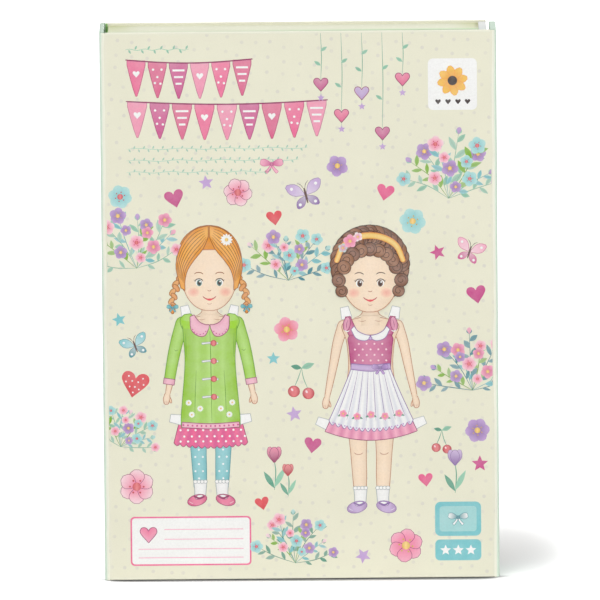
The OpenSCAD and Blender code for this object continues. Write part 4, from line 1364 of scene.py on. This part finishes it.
# The cover's print
cover = {
    "face": -16.0, "limits": (-84.9, 84.9, 0.7, 244.3),
    "figures": ((-40, 27, 134), (31, 23, 138)),
    # a spray's place, turn, size, mood, leaf ink and seed; for the others place, size, inks and turn
    "sprays": ((-72, 140, 92, 27, "pink", "leaf", 3), (-5, 134, 88, 24, "teal", "tealDark", 5),
               (66, 170, 84, 29, "lilac", "leaf", 8), (76, 84, 96, 26, "pink", "tealDark", 11),
               (-3, 7, 90, 22, "teal", "leafDark", 15), (-80, 60, 70, 20, "lilac", "leaf", 18)),
    "hanging": ((10, 20, "rose"), (19, 34, "pink"), (28, 24, "lilac"), (37, 42, "rose"),
                (46, 18, "pink")),
    "hearts": ((-55, 171, 4.4, "rose", 14), (38, 173, 4.0, "pink", -12), (-11, 162, 3.6, "coral", 8),
               (78, 127, 4.4, "rose", 10), (-73.5, 88, 6.4, "coral", -12), (5, 60, 3.9, "rose", -8),
               (-17.5, 34, 3.2, "coral", 12), (55, 44, 3.3, "pink", 6)),
    "tulips": ((-12, 40, 20, "pink", "roseDark"), (-6, 37, 15, "coral", "coralDark"),
               (68, 38, 20, "lilac", "lilacDark")),
    "heartDots": ((-0.5, 0.5), (0.5, 0.5), (-0.62, 0.08), (-0.2, 0.2), (0.22, 0.2), (0.62, 0.08),
                  (-0.3, -0.22), (0.06, -0.18), (0.36, -0.3), (0, -0.58)),
    "stars": ((-41, 178, 3.4, "lilac", 8), (61, 146, 3.6, "rose", 20), (-3, 74, 3.6, "lilac", 10),
              (79, 51, 3.8, "rose", 0), (-80, 117, 3.2, "teal", 14), (27, 10, 3.6, "lilac", 30),
              (-12, 99, 3.0, "teal", 0)),
    "blossoms": ((-27, 173.5, 6.2, 6, "rosy"), (50, 160, 5.8, 6, "pond"), (-6, 112, 5.6, 5, "peach"),
                 (78, 66, 5.4, 6, "violet"), (-73, 42, 7.6, 6, "rosy"), (46, 14.5, 7.4, 6, "blush"),
                 (17, 185, 4.8, 5, "violet"), (-79, 172, 5.2, 6, "sea")),
}
backCover = {
    "face": 16.0, "limits": (-82.7, 84.9, 0.7, 244.3), "label": (-30, 96, 30, 150),
    "sprays": ((-70, 190, 84, 30, "pink", "leaf", 21), (64, 168, 96, 27, "lilac", "leaf", 22),
               (-66, 52, 88, 26, "teal", "leafDark", 23), (60, 36, 92, 30, "pink", "leaf", 24)),
}
narrow = {"spine": (-13.2, 13.2, 0.7, 244.3), "flap": (-13.2, 10.4, 0.7, 244.3)}
petalInks = {  # a petal's base and tip, and the eye
    "rosy": ("pink", "pinkPale", "coral"), "blush": ("pink", "pinkSoft", "yellow"),
    "bright": ("rose", "pinkSoft", "yellow"), "peach": ("coral", "pinkSoft", "yellow"),
    "violet": ("lilacDark", "lilac", "yellow"), "sea": ("teal", "tealPale", "coral"),
    "pond": ("teal", "tealPale", "yellow"),
}
moods = {
    "pink": ("rosy", "violet", "bright"), "lilac": ("violet", "rosy", "sea"),
    "teal": ("sea", "rosy", "violet"),
}


def onCover(name):
    return Print(name, (0, cover["face"], 0), limits=cover["limits"])


flags = {  # the cord's sag in millimetres, the rest in shares of a flag's drop, width or step
    "sag": 1.6, "wide": 0.43, "stripes": (0.2, 0.38, 0.56),
    "outline": ((0, 1), (0.12, 1), (0.45, 0.68), (0.75, 0.36), (0.96, 0.08)),
    "dots": ((-0.2, 0.2), (0.2, 0.2), (0, 0.4), (-0.12, 0.56), (0.14, 0.58)),
}


def bunting(art, x0, x1, z, drop, count, colours, settings=flags):
    def hang(share):  # the cord's height
        return z - settings["sag"] * math.sin(math.pi * share)
    step = (x1 - x0) / count
    half = step * settings["wide"]
    for k in range(count):
        share = (k + 0.5) / count
        middle, top, colour = x0 + (x1 - x0) * share, hang(share), colours[k % len(colours)]
        right, left = ([Vector((middle + w * s, top - drop * t)) for t, s in settings["outline"]]
                       for w in (half, -half))
        art.loft(right, left, along(mixed(colour, "snow", 0.15), colour), 3, scaled(colour, 0.66))
        if k % 3 == 0:
            art.heart(middle, top - drop * 0.36, step * 0.17, "snow")
        elif k % 3 == 1:
            for a, b in settings["dots"]:
                art.dot(middle + a * step, top - drop * b, 0.55)
        else:
            for b in settings["stripes"]:
                w = half * (0.84 - b * 0.9)
                art.rule(middle - w, middle + w, top - drop * b, 0.9, "snow")
    art.line([(x0 + (x1 - x0) * i / 12, hang(i / 12)) for i in range(13)], 0.6, "roseDark", 1, 0.8)


def vine(art, x0, x1, z, colour, size, rng):
    count = int((x1 - x0) / (2.6 * size))
    stem = [(x0 + (x1 - x0) * i / 16, z + 0.35 * math.sin(i * 1.6)) for i in range(17)]
    art.line(stem, 0.25, colour, 2)
    for k in range(count):
        x = x0 + (x1 - x0) * (k + 0.5) / count
        art.leaf(x, z, (62 if k % 2 else -62) + rng.uniform(-8, 8), 2.0 * size, 0.9 * size, colour)


figures = onCover("print_figures")
drawPlaits(figures, *cover["figures"][0], True)
drawCurly(figures, *cover["figures"][1], True)
figures.finish()

title = onCover("print_bunting")
pinks = ("pink", scaled("pink", 0.86), "rose", mixed("pink", "pinkSoft", 0.5))
bunting(title, -76, -20, 233, 16.5, 6, pinks)
bunting(title, -76, 13, 214.5, 16.5, 9, pinks[::-1])
title.finish()

vines = onCover("print_vines")
rng = random.Random(12)
for x0, x1, z, ink, size in ((-76, -48, 237.5, "leaf", 1.0), (-76, 4, 193.2, "mintLine", 0.8),
                             (-76, 0, 188.0, "mintLine", 0.8), (-76, -12, 182.8, "mintLine", 0.8)):
    vine(vines, x0, x1, z, ink, size, rng)
vines.finish()

labels = onCover("print_labels")
labels.panel(57.2, 209.5, 78.8, 232.5, 2.2, "snow")
daisyAt = (68, 222.6)
for k in range(8):
    labels.petal(*daisyAt, 45 * k + 10, 6.6, 3.6, "orange", "yellow", "orange")
labels.disc(*daisyAt, 2.1, 2.1, "darkDeep", 0, 10, 2)
for x in (61.6, 66.0, 70.4, 74.6):
    labels.heart(x, 213.2, 1.25, "darkDeep")
labels.panel(-76, 6.3, -22.5, 28.4, 1.8, "pink")
labels.panel(-75.3, 7.0, -23.2, 27.7, 1.3, "snow")
for x, z in ((-61, 22.6), (-61, 18.2), (-72.5, 13.8), (-72.5, 9.9)):
    labels.rule(x, -26, z, 0.35, "pinkSoft")
labels.heart(-68, 20.3, 3.9, along("pinkSoft", "pink"), 0, "roseDark")
labels.panel(59, 18.6, 79.4, 34, 2.4, "teal")
labels.panel(61, 20.6, 77.4, 32, 1.4, mixed("teal", "tealPale", 0.6))
bow(labels, 69.2, 27, 4.4, "snow", "tealDark")
labels.panel(59, 7.6, 79.4, 17, 2.0, "teal")
for x in (63.6, 69.2, 74.8):
    labels.star(x, 12.2, 2.5, "snow")
labels.finish()

hanging = onCover("print_hanging_hearts")
for x, drop, colour in cover["hanging"]:
    foot = 243.8 - drop
    hanging.line(((x, 244.2), (x + 0.4, foot + drop * 0.5), (x, foot)), 0.3, "leafDark")
    for share in (0.3, 0.62):
        hanging.leaf(x, foot + drop * share, 35 if share > 0.5 else 145, 3.4, 1.5, "leaf")
    shaded = along(scaled(colour, 0.9), mixed(colour, "snow", 0.25))
    hanging.heart(x, foot - 2.4, 3.3, shaded, 0, "roseDark")
    hanging.line(((x, foot - 4.8), (x, foot - 7)), 0.25, "leafDark")
    hanging.star(x, foot - 8.4, 1.7, "lilac")
hanging.finish()

sprays = onCover("print_sprays")
for place in cover["sprays"]:
    spray(sprays, *place)
sprays.finish()

small = onCover("print_small_motifs")
butterfly(small, 3, 172, 8, 14, "lilac", "lilacDark")
butterfly(small, 75, 146, 6.6, -18, "pinkSoft", "rose")
butterfly(small, -73, 105, 6.2, 20, "teal", "tealDark")
cherries(small, 0, 89, 8)
cherries(small, 62, 62, 6)
for place in cover["tulips"]:
    tulip(small, *place)
for x, z, r, petals, inks in cover["blossoms"]:
    small.flower(x, z, r, petals, *petalInks[inks], x * 7, 0.9, "roseDark" if r > 5.8 else None)
for x, z, size, colour, turn in cover["hearts"]:
    small.heart(x, z, size, along(scaled(colour, 0.88), colour), turn)
    here = spot(x, z, size, turn)
    for a, b in cover["heartDots"] if size > 5 else ():
        small.dot(*here(a, b), size * 0.06)
for x, z, size, colour, turn in cover["stars"]:
    small.star(x, z, size, colour, turn)
bow(small, -12, 186, 5.0, "pinkSoft", "rose")
small.finish()

back = Print("print_back", (0, backCover["face"], 0), (-1, 0, 0), (0, 1, 0), limits=backCover["limits"])
for place in backCover["sprays"]:
    spray(back, *place)
x0, z0, x1, z1 = backCover["label"]
back.panel(x0, z0, x1, z1, 3, "pink")
back.panel(x0 + 1, z0 + 1, x1 - 1, z1 - 1, 2.4, "snow")
for x in (-12, 0, 12):
    back.heart(x, 134, 3.6, along("pinkSoft", "pink"), 0, "roseDark")
for z in (120, 113, 106):
    back.rule(-22, 22, z, 0.35, "pinkSoft")
rng = random.Random(31)
for row in range(7):
    for column in range(5):
        x, z = -68 + 34 * column + rng.uniform(-7, 7), 18 + 34 * row + rng.uniform(-7, 7)
        ink = paint[rng.choice(("pink", "rose", "coral", "lilac", "teal"))]
        pick = rng.randrange(4)
        if x0 - 6 < x < x1 + 6 and z0 - 6 < z < z1 + 6:
            continue
        if pick == 0:
            back.star(x, z, 2.6, ink, rng.uniform(0, 40))
        elif pick == 1:
            back.flower(x, z, 4.6, 5, ink, mixed(ink, "snow", 0.6), "yellow", rng.uniform(0, 70))
        else:
            back.heart(x, z, 2.8, ink, rng.uniform(-20, 20))
butterfly(back, 6, 176, 7, 12, "lilac", "lilacDark")
back.finish("tray_body")

spine = Print("print_spine", (cadBox[0].x / mm, 0, 0), (0, -1, 0), (-1, 0, 0), limits=narrow["spine"])
winding = [(2.2 * math.sin(k * 0.9), 18 + 8 * k) for k in range(27)]
spine.line(winding, 0.5, "leafDark", 3)
for k, place in enumerate(winding[:-1]):
    spine.leaf(*place, 90 + (-52 if k % 2 else 52), 7.5, 3.2, "leaf" if k % 3 else "leafDark")
for k, place in enumerate(winding[::4]):
    spine.flower(*place, 4.8, 5, *petalInks[moods["pink"][k % 3]], 17 * k)
spine.finish("spine_body", "mint_print")

flapArt = Print("print_flap", (cadBox[1].x / mm, 0, 0), (0, 1, 0), (1, 0, 0), limits=narrow["flap"])
for k in range(18):
    z = 20 + 12 * k
    if k % 2:
        flapArt.heart(-1.3, z, 2.4, "snow")
    else:
        flapArt.star(-1.3, z, 2.0, "tealPale", 6 * k)
    for x in (-7.8, 5.2):
        flapArt.dot(x, z + 6, 0.8)
flapArt.finish("flap_body", "mint_print")
print("cover, back, spine and flap printed")


# The top sheet: small press-out garments and trinkets, each inside its dashed line

def dashed(art, x0, z0, x1, z1, dash=2.2, gap=1.6):
    corners = [(x0, z0), (x1, z0), (x1, z1), (x0, z1), (x0, z0)]
    for start, end in zip(corners, corners[1:]):
        a, b = Vector(start), Vector(end)
        count = max(1, round((b - a).length / (dash + gap)))
        for k in range(count):
            ends = [a.lerp(b, (k + share) / count) for share in (0.2, 0.8)]
            art.line(ends, 0.3, "paperLine", 1, 1)


sheetArt = Print("print_sheet", (0, card["sheet"], 0), step=0.003, limits=(-79.8, 33.8, 5.4, 239.6))
for x, wide in ((-64.5, 26), (-37, 25), (-10.5, 24), (15.5, 24)):
    dashed(sheetArt, x - wide / 2, 7, x + wide / 2, 37)
    dashed(sheetArt, x - wide / 2, 209, x + wide / 2, 237)
Doll(sheetArt, -64.5, -10.5, 68, looks["curly"]).dress()
Doll(sheetArt, -37, -11.5, 68, looks["plaits"]).coat()
Doll(sheetArt, -10.5, -9, 96, looks["plaits"]).skirt()
Doll(sheetArt, 15.5, 12, 130, looks["plaits"]).shoes("coral", "coralDark")
bow(sheetArt, -64.5, 224, 9, "pink", "roseDark")
Doll(sheetArt, -37, 128, 104, looks["curly"]).headband("lilac", "lilacDark")
butterfly(sheetArt, -10.5, 223, 9, 8, "teal", "tealDark")
cherries(sheetArt, 15.5, 223, 10)
sheetArt.finish("tray_body", "sheet_print")
print("sheet printed")

# The dolls' cards and the outfits that hang on them
for index, (body, draw) in enumerate((("doll_1_body", drawCurly), ("doll_2_body", drawPlaits))):
    art = Print("print_doll_%d" % (index + 1), (0, card["face"], 0), step=0.004)
    draw(art, card["x"][index], card["z"], card["height"], False)
    art.finish(body, "doll_card")
outfitArt = Print("print_dress_1", (0, card["panel"], 0), step=0.004)
Doll(outfitArt, card["x"][0], card["z"], card["height"], looks["curly"]).dress()
outfitArt.finish("doll_1_body", "outfit_paper")
outfitArt = Print("print_coat_2", (0, card["panel"], 0), step=0.004)
Doll(outfitArt, card["x"][1], card["z"], card["height"], looks["plaits"]).coat()
outfitArt.finish("doll_2_body", "outfit_paper")
print("dolls and outfits printed")
